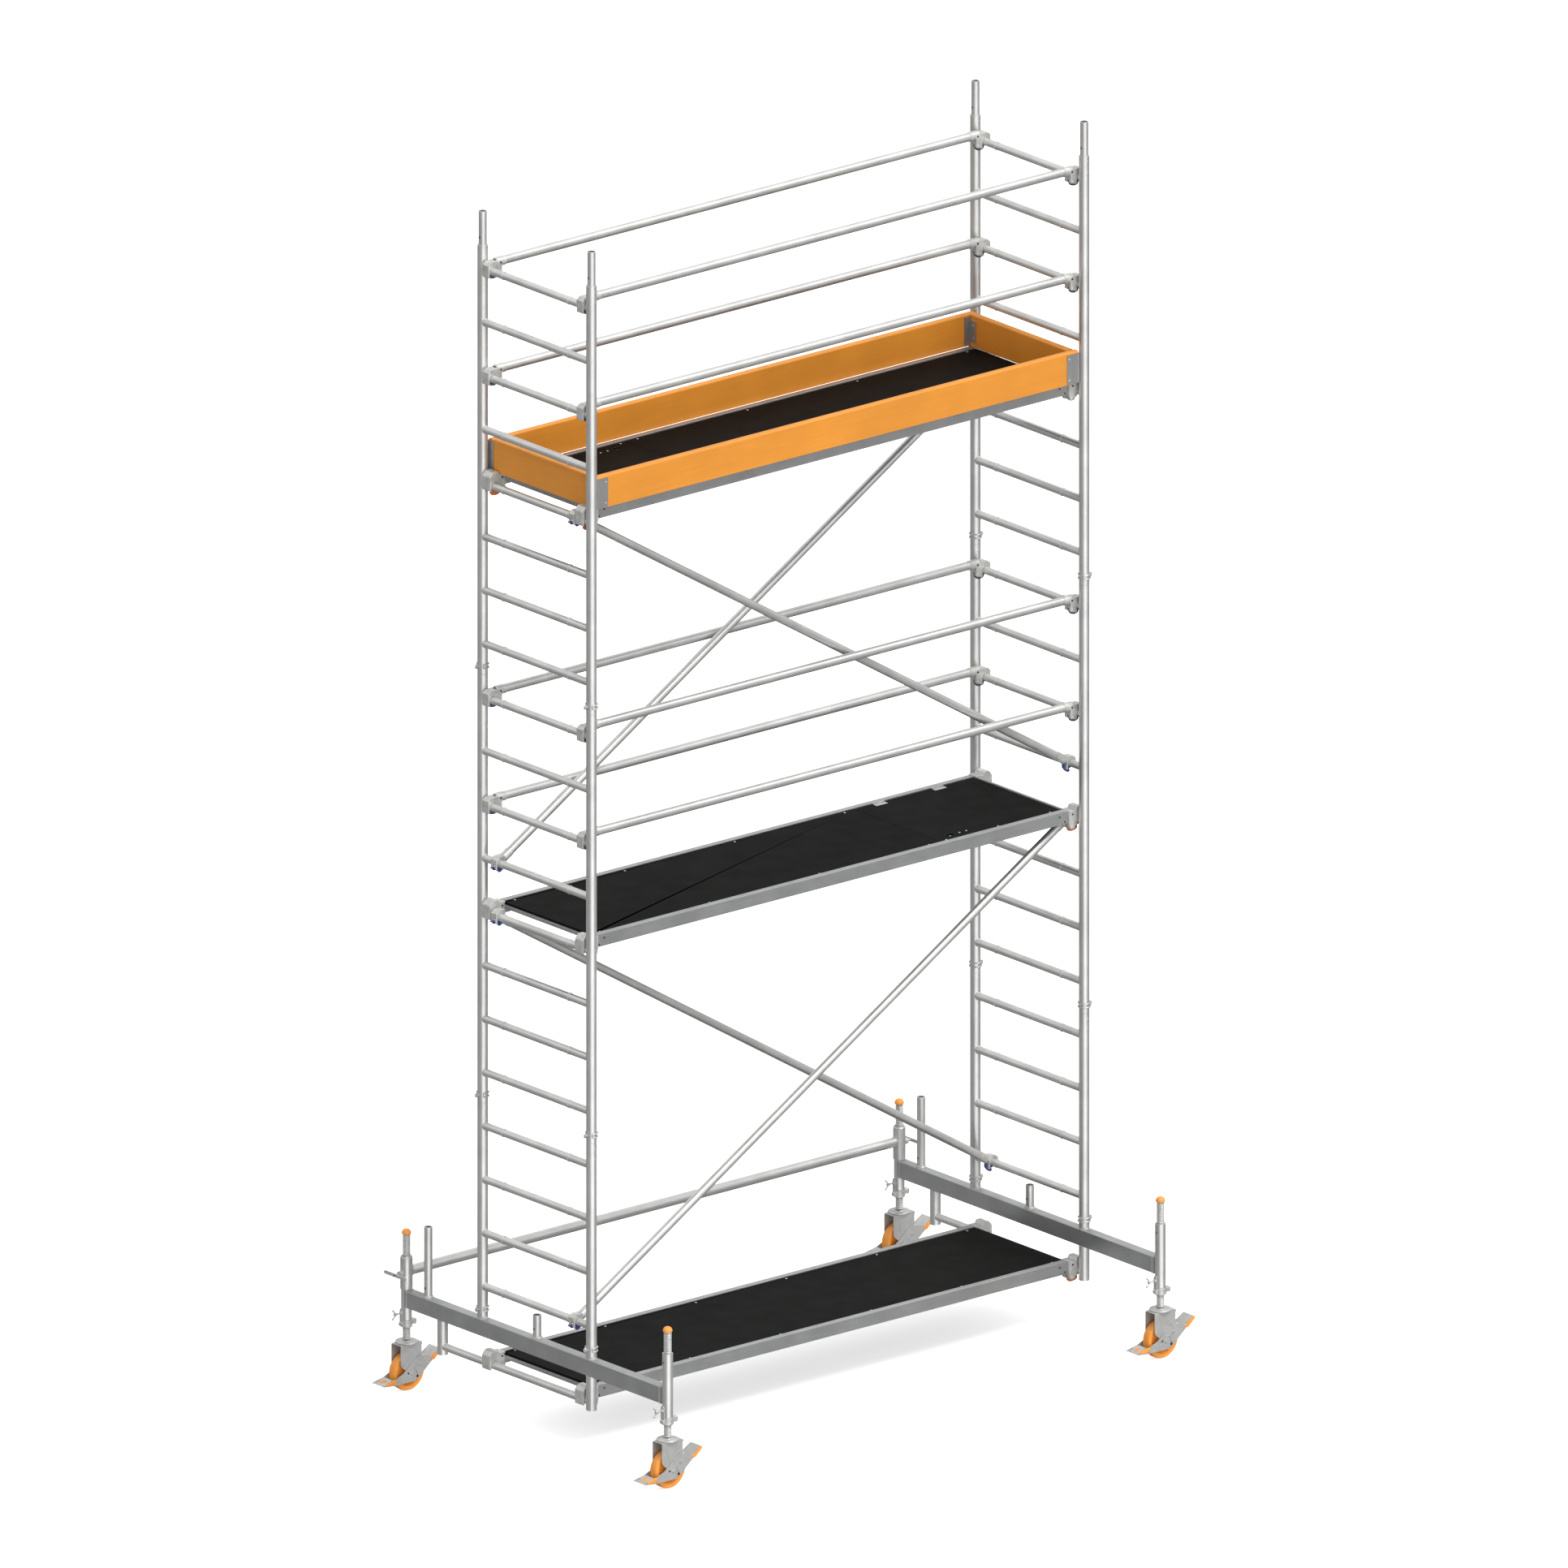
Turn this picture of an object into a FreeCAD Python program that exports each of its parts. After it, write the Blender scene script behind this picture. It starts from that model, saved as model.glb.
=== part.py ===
"""Mobile tower scaffold: two ladder-frame ends on castored beams, three decks, rails and braces.

All sizes are millimetres.  X runs along the bay, Y across it, Z up.  The origin is on the floor,
in the middle of the footprint.  Every sub-part is written to parts/NODE.step.
"""
import FreeCAD, Part
import math
import os

Vector = FreeCAD.Vector

# --- Bay and storeys ---------------------------------------------------------------------------
bay_length = 2850.0      # stile centre to stile centre, along X
bay_width = 750.0        # stile centre to stile centre, along Y
leg_spread = 1800.0      # castor centre to castor centre, along Y
rung_pitch = 250.0
first_rung = 141.0       # above the foot of the lowest frame
frame_rungs = {"lower": 4, "middle": 8, "upper": 8}
middle_deck_rung = 7
top_deck_rung = 15
rail_steps = (2, 4)      # rungs above a deck that carry its guard rails

# --- Tubes -------------------------------------------------------------------------------------
tube_radius = 24.15
tube_wall = 5.0
rung_radius = 17.5
rung_wall = 3.0
rung_ring_rise = 2.0
rung_ring_width = 9.0
rung_ring_y = 227.0
spigot_fit = 0.35
spigot_wall = 3.5
spigot_reach = 158.0     # above the shoulder it stands on
spigot_depth = 120.0     # inside the stile below
spigot_chamfer = 2.0
pin_hole_radius = 5.5
pin_hole_height = 37.0   # above the shoulder

# --- Mobile beam -------------------------------------------------------------------------------
beam_bottom = 390.0
beam_height = 78.0
beam_width = 50.0
beam_wall = 4.0
collar_height = 8.0
end_tube_bottom = 327.0
end_tube_top = 626.0
end_tube_hole_drop = 41.0
free_short_spigot_y = 0.0
free_short_spigot_reach = 109.0
free_tall_spigot_y = 750.0
free_tall_spigot_reach = 329.0
hoop_rear_y = 651.0
hoop_bottom = 228.0
hoop_rail_rise = 37.0    # rail axis above the foot of the posts

# --- Castor, spindle and nut -------------------------------------------------------------------
wheel_radius = 87.5
wheel_width = 46.0
wheel_edge = 8.0
hub_radius = 22.0
hub_width = 56.0
axle_radius = 6.0
axle_head_radius = 11.0
axle_head_length = 6.0
cheek_gap = 60.0         # between the fork's cheeks
sheet = 4.0              # fork and lever plate
crown_top = 221.7
crown_half_length = 60.0
cheek_foot_radius = 24.0
cheek_shoulder = 130.0
race_radius = 51.0
race_height = 10.0
kingpin_radius = 8.0
kingpin_nut_radius = 13.0
kingpin_nut_height = 6.0
spindle_radius = 18.0
spindle_top = 730.0
cap_radius = 21.5
cap_height = 20.0
nut_radius = 27.0
nut_height = 34.0
nut_lug_reach = 52.0
nut_lug_width = 26.0
nut_lug_height = 30.0
nut_tab_width = 24.0
nut_tab_thickness = 6.0
nut_tab_rise = 57.0      # above the foot of the end tube
wing_screw_radius = 4.0
wing_screw_drop = 22.0   # below the top of the tab
wing_screw_reach = 72.0
wing_thickness = 5.0
# Outline of the wing screw's head, from the end of its shank.
wing_outline = ((14.0, -5.0), (14.0, 5.0), (0.0, 25.0), (-12.0, 25.0), (-2.0, 0.0),
                (-12.0, -25.0), (0.0, -25.0))
pedal_reach = 165.0
pedal_thickness = 3.0
lever_gap = 2.0          # lever plate to fork cheek
lever_low_pedal = (57.0, 70.0)      # height of its tip and of its root
lever_high_pedal = (168.0, 131.0)
lever_low_root = 101.0
lever_low_depth = 24.0   # of the plate at the root of the low pedal
lever_low_nose = 5.0
lever_high_root = 118.0
lever_high_depth = 16.0
lever_high_nose = (4.0, 7.0)
# Upper and lower edges of the lever between its two pedals.
lever_upper_edge = ((-50.0, 92.0), (-24.0, 111.0), (11.0, 142.0), (42.0, 160.0), (90.0, 150.0))
lever_lower_edge = ((66.0, 79.0), (19.0, 45.5), (-55.0, 45.5))
shoe_start = 24.0
shoe_end = 54.0
shoe_gap = 2.5
shoe_width = 36.0

# --- Base strut --------------------------------------------------------------------------------
strut_radius = 22.25
strut_wall = 3.0
strut_height = 552.0
sleeve_wall = 3.55
sleeve_bottom = 470.0
sleeve_top = 620.0
clamp_height = 545.0
clamp_boss_radius = 14.0
clamp_boss_reach = 45.0  # from the axis of the end tube
clamp_screw_radius = 6.0
clamp_screw_reach = 70.0
clamp_bar_length = 150.0
clamp_bar_height = 16.0
clamp_bar_thickness = 8.0

# --- Decks -------------------------------------------------------------------------------------
deck_width = 670.0
deck_end_inset = 63.0    # from the stiles' axes to the end of a side rail
deck_rise = 53.0         # deck top above the axis of the tube that carries it
side_rail_width = 30.0
side_rail_height = 60.0
side_rail_wall = 2.5
board_recess = 6.0
board_thickness = 10.0
board_overhang = 6.0
ledge_width = 14.0
ledge_thickness = 3.0
end_member_width = 14.0
end_member_height = 18.0
cross_member_width = 40.0
cross_member_x = (-900.0, -300.0, 300.0, 900.0)
hatch_start = 660.0
hatch_gap = 2.0
hatch_trimmer_width = 30.0
finger_hole_x = 756.0
finger_hole_y = 247.0    # towards the side away from the hinges
finger_hole_length = 46.0
finger_hole_width = 28.0
hinge_places = (800.0, 1140.0)
hinge_length = 66.0
hinge_barrel_radius = 2.6
hinge_pin_radius = 1.4
hinge_inset = 6.0        # axis inside the side rail's lip
hinge_leaf_width = 28.0
hinge_leaf_thickness = 1.2
hinge_lift = 0.4         # underside of the barrel above the board
hinge_leaf_start = 1.5   # barrel radii from the axis to the leaf
rivet_radius = 4.5
rivet_height = 1.2
rail_rivets = ((45.0, 22.0), (15.0, 49.0))   # (back from the rail's end, below the deck top)

# --- Claws and pawls, measured from the axis of the tube they grip ------------------------------
claw_clearance = 0.3
claw_lip = 9.1
claw_foot = 20.0
claw_web = -4.0          # underside of the web between a claw's two cheeks
deck_claw_width = 57.0
deck_claw_hump = 14.0    # above the deck top
deck_claw_slope = (-27.0, -23.0)    # where the rise to the hump begins and ends
deck_claw_nose = (5.0, 9.0)         # where the fall begins, and how far below the deck top it ends
deck_claw_jaw = (-26.0, -34.0, -58.0)
deck_claw_lug = 34.0
deck_pawl_pivot = (-46.0, -22.0)
deck_pawl_reach = 283.0  # angle of a pawl's tip, in degrees, like the two below
rail_pawl_reach = 283.0
brace_pawl_reach = 238.0
socket_claw_nose = (12.0, 13.0)
socket_claw_foot = 28.0
socket_claw_jaw = -26.0
rail_claw_lug = -54.0
rail_pawl_slot = -60.0   # where the pawl's slot starts
brace_claw_lug = -26.0
brace_pawl_slot = 9.0    # how far the pawl's slot runs past the claw
socket_fit = 0.1
rail_claw_width = 44.0
rail_claw_top = 44.0
rail_pawl_pivot = (-42.0, -12.0)
brace_claw_width = 38.0
brace_claw_top = 34.0
brace_pawl_pivot = (25.0, -22.0)
socket_start = 28.0
socket_floor = 62.0
socket_end = 82.0
pawl_thickness = 10.0
pawl_slot = 12.0
pawl_gap = 1.1           # pawl to the tube it locks under
pawl_depth = 8.5
pawl_boss_radius = 7.5
pawl_link = (0.6, 0.85)  # how far the link reaches along and below, as shares of the band's radii
pawl_pin_radius = 3.5

# --- Guard rails and braces --------------------------------------------------------------------
guard_rail_radius = 20.0
guard_rail_wall = 2.5
guard_rail_y = 325.0
guard_rail_rise = 33.0
rail_sleeve = 2.0
brace_radius = 19.0
brace_wall = 2.5
brace_y = 268.0
brace_sleeve = 1.7

# --- Toe boards --------------------------------------------------------------------------------
toe_height = 150.0
toe_thickness = 34.0
toe_rounding = 9.0
toe_end_inset = 30.0     # from the stiles' axes to the end of a long board
toe_deck_gap = 2.0
bracket_length = 70.0
bracket_plate = 3.0
bracket_margin = 3.0
bracket_flange = 44.0
bracket_flange_height = 100.0

# --- Clips and fits ----------------------------------------------------------------------------
clip_pin_radius = 5.0
clip_wire_radius = 3.0
clip_wire_spacing = 17.0
clip_sweep = 300.0
clip_tab = 15.0
loose_fit = 0.3
running_fit = 0.05
plug_fit = 0.2
plug_length = 70.0

# --- Values worked out from those above ----------------------------------------------------------
stile_x = bay_length / 2
stile_y = bay_width / 2
leg_y = leg_spread / 2
tube_bore = tube_radius - tube_wall
spigot_radius = tube_bore - spigot_fit
rung_ring_radius = rung_radius + rung_ring_rise
sleeve_radius = tube_radius + loose_fit + sleeve_wall
deck_half_length = stile_x - deck_end_inset
beam_top = beam_bottom + beam_height
frame_base = beam_top + collar_height
hoop_rail_z = hoop_bottom + hoop_rail_rise
race_top = crown_top + loose_fit + race_height
cheek_inner = cheek_gap / 2
cheek_outer = cheek_inner + sheet
lever_inner = cheek_outer + lever_gap
lever_outer = lever_inner + sheet
side_outer = deck_width / 2
side_inner = side_outer - side_rail_width
claw_radius = rung_radius + claw_clearance
claw_outer = claw_radius + claw_lip
toe_inner_y = side_outer + toe_deck_gap
toe_outer_y = toe_inner_y + toe_thickness
toe_half_length = stile_x - toe_end_inset
end_toe_half_length = toe_inner_y - bracket_plate - 2 * loose_fit
deck_claw_y = side_inner + side_rail_width / 2
brace_rungs = ((0, middle_deck_rung), (middle_deck_rung + 1, top_deck_rung))
ends = {"left": -1, "right": 1}
sides = {"front": -1, "rear": 1}

# The footprint box reaches from the front castors' races to the rear clamp bars.
footprint_shift = (clamp_bar_length / 2 - race_radius) / 2


def rung_height(number):
    """Height of a rung's axis, counted from the lowest rung as 0."""
    return frame_base + first_rung + number * rung_pitch


decks = {
    "bottom": hoop_rail_z + deck_rise,
    "middle": rung_height(middle_deck_rung) + deck_rise,
    "top": rung_height(top_deck_rung) + deck_rise,
}
rail_rungs = [deck + step for deck in (middle_deck_rung, top_deck_rung) for step in rail_steps]


# --- Shape helpers -------------------------------------------------------------------------------
def box(x_range, y_range, z_range):
    """Box between two limits on each axis."""
    low = Vector(min(x_range), min(y_range), min(z_range))
    high = Vector(max(x_range), max(y_range), max(z_range))
    return Part.makeBox(high.x - low.x, high.y - low.y, high.z - low.z, low)


def rod(radius, start, end):
    """Solid round bar between two points."""
    line = end - start
    return Part.makeCylinder(radius, line.Length, start, line)


def pipe(radius, bore, start, end):
    """Round tube between two points."""
    return rod(radius, start, end).cut(rod(bore, start, end))


def upright(x, y, z_low, z_high, radius):
    """Solid round bar along Z."""
    return rod(radius, Vector(x, y, z_low), Vector(x, y, z_high))


def bar_x(y, z, x_low, x_high, radius):
    """Solid round bar along X."""
    return rod(radius, Vector(x_low, y, z), Vector(x_high, y, z))


def bar_y(x, z, y_low, y_high, radius):
    """Solid round bar along Y."""
    return rod(radius, Vector(x, y_low, z), Vector(x, y_high, z))


def plate_y(outline, y_low, y_high):
    """Flat plate with an outline of (x, z) points, its thickness along Y."""
    points = [Vector(x, y_low, z) for x, z in outline]
    face = Part.Face(Part.makePolygon(points + points[:1]))
    return face.extrude(Vector(0, y_high - y_low, 0))


def joined(shapes):
    """One solid from touching or overlapping shapes."""
    return shapes[0].fuse(shapes[1:]).removeSplitter()


def to_end(shape, side):
    """Shape modelled at the +X end, or its mirror image at the -X end."""
    if side > 0:
        return shape
    return shape.mirror(Vector(0, 0, 0), Vector(1, 0, 0))


def placed(shape, x=0.0, y=0.0, z=0.0):
    """Copy of a shape, moved."""
    copy = shape.copy()
    copy.translate(Vector(x, y, z))
    return copy


def save(node, shapes):
    """Write one node's solids, set about the middle of the footprint."""
    solids = []
    for shape in shapes:
        solids.extend(shape.Solids)
    for solid in solids:
        if not solid.isValid():
            raise ValueError(node + " holds an invalid solid")
    group = Part.makeCompound(solids)
    group.translate(Vector(0, -footprint_shift, 0))
    group.exportStep("parts/" + node + ".step")
    print(node, len(solids), round(group.Volume / 1000.0, 1), "cm3")


# --- Ladder frames and mobile beams --------------------------------------------------------------
def spigot(x, y, shoulder, reach):
    """Plain joint spigot standing on a shoulder, with its upper rim chamfered."""
    body = upright(x, y, shoulder, shoulder + reach, spigot_radius)
    rim = [edge for edge in body.Edges if abs(edge.CenterOfMass.z - shoulder - reach) < 0.01]
    return body.makeChamfer(spigot_chamfer, rim[:1])


def bored_spigot(x, y, shoulder, reach, root, root_radius):
    """Spigot on a wider root, bored through, with its locking hole across it."""
    base = upright(x, y, shoulder - root, shoulder, root_radius)
    bore = upright(x, y, shoulder - root, shoulder + reach, spigot_radius - spigot_wall)
    return joined([spigot(x, y, shoulder, reach), base]).cut([bore, pin_hole(x, y, shoulder)])


def pin_hole(x, y, shoulder):
    """Bar that cuts the locking hole through a stile and its spigot."""
    reach = 2 * tube_radius
    return bar_x(y, shoulder + pin_hole_height, x - reach, x + reach, pin_hole_radius)


def rung(x, z):
    """Rung between two stiles, with its two locating rings."""
    outside = bar_y(x, z, -stile_y, stile_y, rung_radius)
    rings = []
    for place in (-rung_ring_y, rung_ring_y):
        rings.append(bar_y(x, z, place - rung_ring_width / 2, place + rung_ring_width / 2,
                           rung_ring_radius))
    body = joined([outside] + rings)
    bore = bar_y(x, z, -stile_y, stile_y, rung_radius - rung_wall)
    stiles = [upright(x, y, z - rung_pitch, z + rung_pitch, tube_radius) for y in (-stile_y, stile_y)]
    return body.cut([bore] + stiles)


def ladder_frame(x, base, first, count):
    """Welded frame: two stiles, their spigots and the rungs between them."""
    top = base + count * rung_pitch
    solids = []
    for y in (-stile_y, stile_y):
        stile = pipe(tube_radius, tube_bore, Vector(x, y, base), Vector(x, y, top))
        solids.append(stile.cut(pin_hole(x, y, base)))
        solids.append(bored_spigot(x, y, top, spigot_reach, spigot_depth, tube_bore - running_fit))
    for number in range(first, first + count):
        solids.append(rung(x, rung_height(number)))
    return solids


def mobile_beam(x):
    """Castor beam: box section, leg tubes, spigots and the hoop that carries the bottom deck."""
    half = beam_width / 2
    stop = leg_y - tube_radius / 2
    outer = box((x - half, x + half), (-stop, stop), (beam_bottom, beam_top))
    inner = box((x - half + beam_wall, x + half - beam_wall), (-stop, stop),
                (beam_bottom + beam_wall, beam_top - beam_wall))
    legs = [upright(x, y, end_tube_bottom, end_tube_top, tube_radius) for y in (-leg_y, leg_y)]
    solids = [outer.cut([inner] + legs)]
    hole_z = end_tube_top - end_tube_hole_drop
    for y in (-leg_y, leg_y):
        leg = pipe(tube_radius, tube_bore, Vector(x, y, end_tube_bottom), Vector(x, y, end_tube_top))
        hole = bar_x(y, hole_z, x - 2 * tube_radius, x + 2 * tube_radius, pin_hole_radius)
        solids.append(leg.cut(hole))
    spigots = {-stile_y: spigot_reach, stile_y: spigot_reach,
               free_short_spigot_y: free_short_spigot_reach - collar_height,
               free_tall_spigot_y: free_tall_spigot_reach - collar_height}
    for y, reach in spigots.items():
        solids.append(bored_spigot(x, y, frame_base, reach, collar_height, tube_radius))
    posts = []
    for y in (-stile_y, hoop_rear_y):
        solids.append(pipe(tube_radius, tube_bore, Vector(x, y, hoop_bottom), Vector(x, y, beam_bottom)))
        posts.append(upright(x, y, hoop_bottom, beam_bottom, tube_radius))
    rail = pipe(rung_radius, rung_radius - rung_wall,
                Vector(x, -stile_y, hoop_rail_z), Vector(x, hoop_rear_y, hoop_rail_z))
    solids.append(rail.cut(posts))
    return solids


def frame_clip(x, y, shoulder):
    """Spring clip at a joint: a pin through it and two wire rings round the stile."""
    centre = Vector(0, 0, shoulder + pin_hole_height)
    ring_radius = tube_radius + loose_fit + clip_wire_radius
    tab_end = ring_radius + clip_tab
    free_angle = math.radians(360.0 - clip_sweep)
    wires = [bar_x(0, centre.z, -ring_radius, tab_end, clip_pin_radius)]
    levels = (centre.z - clip_wire_spacing / 2, centre.z + clip_wire_spacing / 2)
    for z in levels:
        ring = Part.makeTorus(ring_radius, clip_wire_radius, Vector(0, 0, z), Vector(0, 0, 1),
                              0, 360, clip_sweep)
        ring.rotate(Vector(0, 0, z), Vector(0, 0, 1), 360.0 - clip_sweep)
        wires.append(ring)
        wires.append(bar_x(0, z, ring_radius, tab_end, clip_wire_radius))
    free_x = ring_radius * math.cos(free_angle)
    free_y = ring_radius * math.sin(free_angle)
    overlap = clip_wire_radius
    wires.append(upright(free_x, free_y, levels[0] - overlap, levels[1] + overlap, clip_wire_radius))
    wires.append(upright(tab_end, 0, levels[0] - overlap, levels[1] + overlap, clip_wire_radius))
    clip = joined(wires)
    if x < 0:
        clip.rotate(Vector(0, 0, 0), Vector(0, 0, 1), 180)
    return placed(clip, x, y)


# --- Base strut ----------------------------------------------------------------------------------
def base_strut():
    """Strut between the rear legs, with a clamping sleeve at each end."""
    reach = stile_x
    tube = pipe(strut_radius, strut_radius - strut_wall,
                Vector(-reach, leg_y, strut_height), Vector(reach, leg_y, strut_height))
    solids = []
    for side in ends.values():
        x = side * stile_x
        sleeve = upright(x, leg_y, sleeve_bottom, sleeve_top, sleeve_radius)
        tube = tube.cut(sleeve)
        boss = bar_x(leg_y, clamp_height, x, x + side * clamp_boss_reach, clamp_boss_radius)
        bore = upright(x, leg_y, sleeve_bottom, sleeve_top, tube_radius + loose_fit)
        thread = bar_x(leg_y, clamp_height, x, x + side * clamp_screw_reach,
                       clamp_screw_radius + running_fit)
        solids.append(joined([sleeve, boss]).cut([bore, thread]))
    return [tube] + solids


def clamp_screw(side):
    """Clamping screw with its cross bar; its tip bears on the leg tube."""
    x = side * stile_x
    tip = x + side * (tube_radius + loose_fit)
    head = x + side * clamp_screw_reach
    shank = bar_x(leg_y, clamp_height, tip, head, clamp_screw_radius)
    half = clamp_bar_length / 2
    rise = clamp_bar_height / 2
    bar = box((head, head - side * clamp_bar_thickness), (leg_y - half + rise, leg_y + half - rise),
              (clamp_height - rise, clamp_height + rise))
    tips = [bar_x(leg_y + offset, clamp_height, head, head - side * clamp_bar_thickness, rise)
            for offset in (rise - half, half - rise)]
    return joined([shank, bar] + tips)


# --- Castor legs ---------------------------------------------------------------------------------
def spindle(x, y):
    """Jack spindle with its end cap, and the castor's upper race and kingpin below it."""
    shaft = upright(x, y, race_top, spindle_top, spindle_radius)
    race = upright(x, y, race_top - race_height, race_top, race_radius)
    crown_foot = crown_top - sheet
    pin = upright(x, y, crown_foot - loose_fit - kingpin_nut_height, race_top, kingpin_radius)
    pin_nut = upright(x, y, crown_foot - loose_fit - kingpin_nut_height, crown_foot - loose_fit,
                      kingpin_nut_radius)
    dome_radius = (cap_radius ** 2 + cap_height ** 2) / (2 * cap_height)
    dome = Part.makeSphere(dome_radius, Vector(x, y, spindle_top + cap_height - dome_radius))
    cap = dome.common(upright(x, y, spindle_top, spindle_top + cap_height, cap_radius))
    return [shaft, joined([race, pin, pin_nut]), cap]


def spindle_nut(x, y):
    """Jack nut under the leg tube, with its lug, its locking tab and the wing screw in the tab."""
    top = end_tube_bottom
    bottom = top - nut_height
    hub = upright(x, y, bottom, top - loose_fit, nut_radius)
    half_lug = nut_lug_width / 2
    lug = box((x, x + nut_lug_reach), (y - half_lug, y + half_lug),
              (top - nut_lug_height - 2 * loose_fit, top - 2 * loose_fit))
    half_tab = nut_tab_width / 2
    tab_outer = tube_radius + 2 * loose_fit + nut_tab_thickness
    tab = box((x - spindle_radius, x - tab_outer), (y - half_tab, y + half_tab),
              (bottom, top + nut_tab_rise))
    hollow = upright(x, y, top - loose_fit, top + nut_tab_rise + loose_fit,
                     tube_radius + 2 * loose_fit)
    bore = upright(x, y, bottom, top, spindle_radius + running_fit)
    screw_z = top + nut_tab_rise - wing_screw_drop
    screw_hole = bar_x(y, screw_z, x - wing_screw_reach, x, wing_screw_radius + running_fit)
    nut = joined([hub, lug, tab]).cut([hollow, bore, screw_hole])
    shank = bar_x(y, screw_z, x - wing_screw_reach, x - tube_radius - 2 * loose_fit,
                  wing_screw_radius)
    wing_x = x - wing_screw_reach
    half_thick = wing_thickness / 2
    wing = plate_y([(wing_x + dx, screw_z + dz) for dx, dz in wing_outline],
                   y - half_thick, y + half_thick)
    return [nut, joined([shank, wing])]


def castor_fork(x, y):
    """Pressed fork: crown, two cheeks, the axle through them and the brake shoe under the crown."""
    crown = box((x - crown_half_length, x + crown_half_length), (y - cheek_outer, y + cheek_outer),
                (crown_top - sheet, crown_top))
    crown = crown.cut(upright(x, y, crown_top - sheet, crown_top, kingpin_radius + running_fit))
    solids = [crown]
    outline = [(-crown_half_length, crown_top - sheet), (-crown_half_length, cheek_shoulder),
               (-cheek_foot_radius, wheel_radius), (cheek_foot_radius, wheel_radius),
               (crown_half_length, cheek_shoulder), (crown_half_length, crown_top - sheet)]
    for side in sides.values():
        near = y + side * cheek_inner
        far = y + side * cheek_outer
        cheek = plate_y([(x + dx, z) for dx, z in outline], min(near, far), max(near, far))
        foot = bar_y(x, wheel_radius, near, far, cheek_foot_radius)
        hole = bar_y(x, wheel_radius, near, far, axle_radius + running_fit)
        solids.append(joined([cheek, foot]).cut(hole))
    head_start = lever_outer + loose_fit
    shank = bar_y(x, wheel_radius, y - head_start, y + head_start, axle_radius)
    heads = [bar_y(x, wheel_radius, y + side * head_start,
                   y + side * (head_start + axle_head_length), axle_head_radius)
             for side in sides.values()]
    solids.append(joined([shank] + heads))
    half_shoe = shoe_width / 2
    shoe = box((x + shoe_start, x + shoe_end), (y - half_shoe, y + half_shoe),
               (wheel_radius, crown_top - sheet))
    solids.append(shoe.cut(bar_y(x, wheel_radius, y - half_shoe, y + half_shoe,
                                 wheel_radius + shoe_gap)))
    return solids


def castor_wheel(x, y):
    """Wheel turned about Y, with a crowned tread and a long hub."""
    half = wheel_width / 2
    section = [(axle_radius + running_fit, -hub_width / 2), (hub_radius, -hub_width / 2),
               (hub_radius, -half), (wheel_radius - wheel_edge, -half),
               (wheel_radius, wheel_edge - half), (wheel_radius, half - wheel_edge),
               (wheel_radius - wheel_edge, half), (hub_radius, half),
               (hub_radius, hub_width / 2), (axle_radius + running_fit, hub_width / 2)]
    points = [Vector(x + radius, y + across, wheel_radius) for radius, across in section]
    face = Part.Face(Part.makePolygon(points + points[:1]))
    return [face.revolve(Vector(x, y, wheel_radius), Vector(0, 1, 0), 360)]


def brake_lever(x, y):
    """Double brake lever: a plate each side of the fork and a pedal across each end."""
    low_tip, low_root = lever_low_pedal
    high_tip, high_root = lever_high_pedal
    nose_back, nose_drop = lever_high_nose
    rise = lever_high_depth / 2
    outline = [(-pedal_reach, low_tip), (-lever_low_root, low_root), *lever_upper_edge,
               (lever_high_root, high_root + rise), (pedal_reach, high_tip),
               (pedal_reach - nose_back, high_tip - nose_drop),
               (lever_high_root, high_root - rise), *lever_lower_edge,
               (-lever_low_root, low_root - lever_low_depth),
               (-pedal_reach, low_tip - lever_low_nose)]
    outline = [(x + dx, z) for dx, z in outline]
    solids = []
    for side in sides.values():
        near = y + side * lever_inner
        far = y + side * lever_outer
        plate = plate_y(outline, min(near, far), max(near, far))
        hole = bar_y(x, wheel_radius, near, far, axle_radius + running_fit)
        solids.append(plate.cut(hole))
    thick = pedal_thickness
    low = [(-pedal_reach, low_tip), (-lever_low_root, low_root),
           (-lever_low_root, low_root - thick), (-pedal_reach, low_tip - thick)]
    high = [(lever_high_root, high_root + thick), (pedal_reach, high_tip),
            (pedal_reach, high_tip - thick), (lever_high_root, high_root)]
    for pedal in (low, high):
        solids.append(plate_y([(x + dx, z) for dx, z in pedal], y - lever_inner, y + lever_inner))
    return solids


# --- Claws and pawls -----------------------------------------------------------------------------
def tube_cavity(half_width):
    """Space that a claw leaves for the tube it hangs on, open below."""
    reach = deck_claw_lug + claw_radius
    return [bar_y(0, 0, -half_width, half_width, claw_radius),
            box((-claw_radius, claw_radius), (-half_width, half_width), (-reach, 0))]


def pawl(pivot, reach_angle):
    """Locking pawl under a tube, with its pivot pin; it swings down clear of the tube."""
    half = pawl_thickness / 2
    inner = rung_radius + pawl_gap
    outer = inner + pawl_depth
    band = bar_y(0, 0, -half, half, outer).cut(bar_y(0, 0, -half, half, inner))
    length = math.hypot(pivot[0], pivot[1])
    far = 3 * outer
    tip = Vector(far * math.cos(reach_angle), 0, far * math.sin(reach_angle))
    root = (pivot[0] * far / length, pivot[1] * far / length)
    wedge = plate_y([(0, 0), root, (root[0], -far), (tip.x, -far), (tip.x, tip.z)], -half, half)
    band = band.common(wedge)
    boss = bar_y(pivot[0], pivot[1], -half, half, pawl_boss_radius)
    side = 1 if pivot[0] > 0 else -1
    link = plate_y([(pivot[0], pivot[1]), (pivot[0] * inner / length, pivot[1] * inner / length),
                    (side * inner * pawl_link[0], -outer * pawl_link[1]),
                    (pivot[0], pivot[1] - pawl_boss_radius)], -half, half)
    link = link.cut(bar_y(0, 0, -half, half, inner))
    return [boss, band, link]


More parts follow.
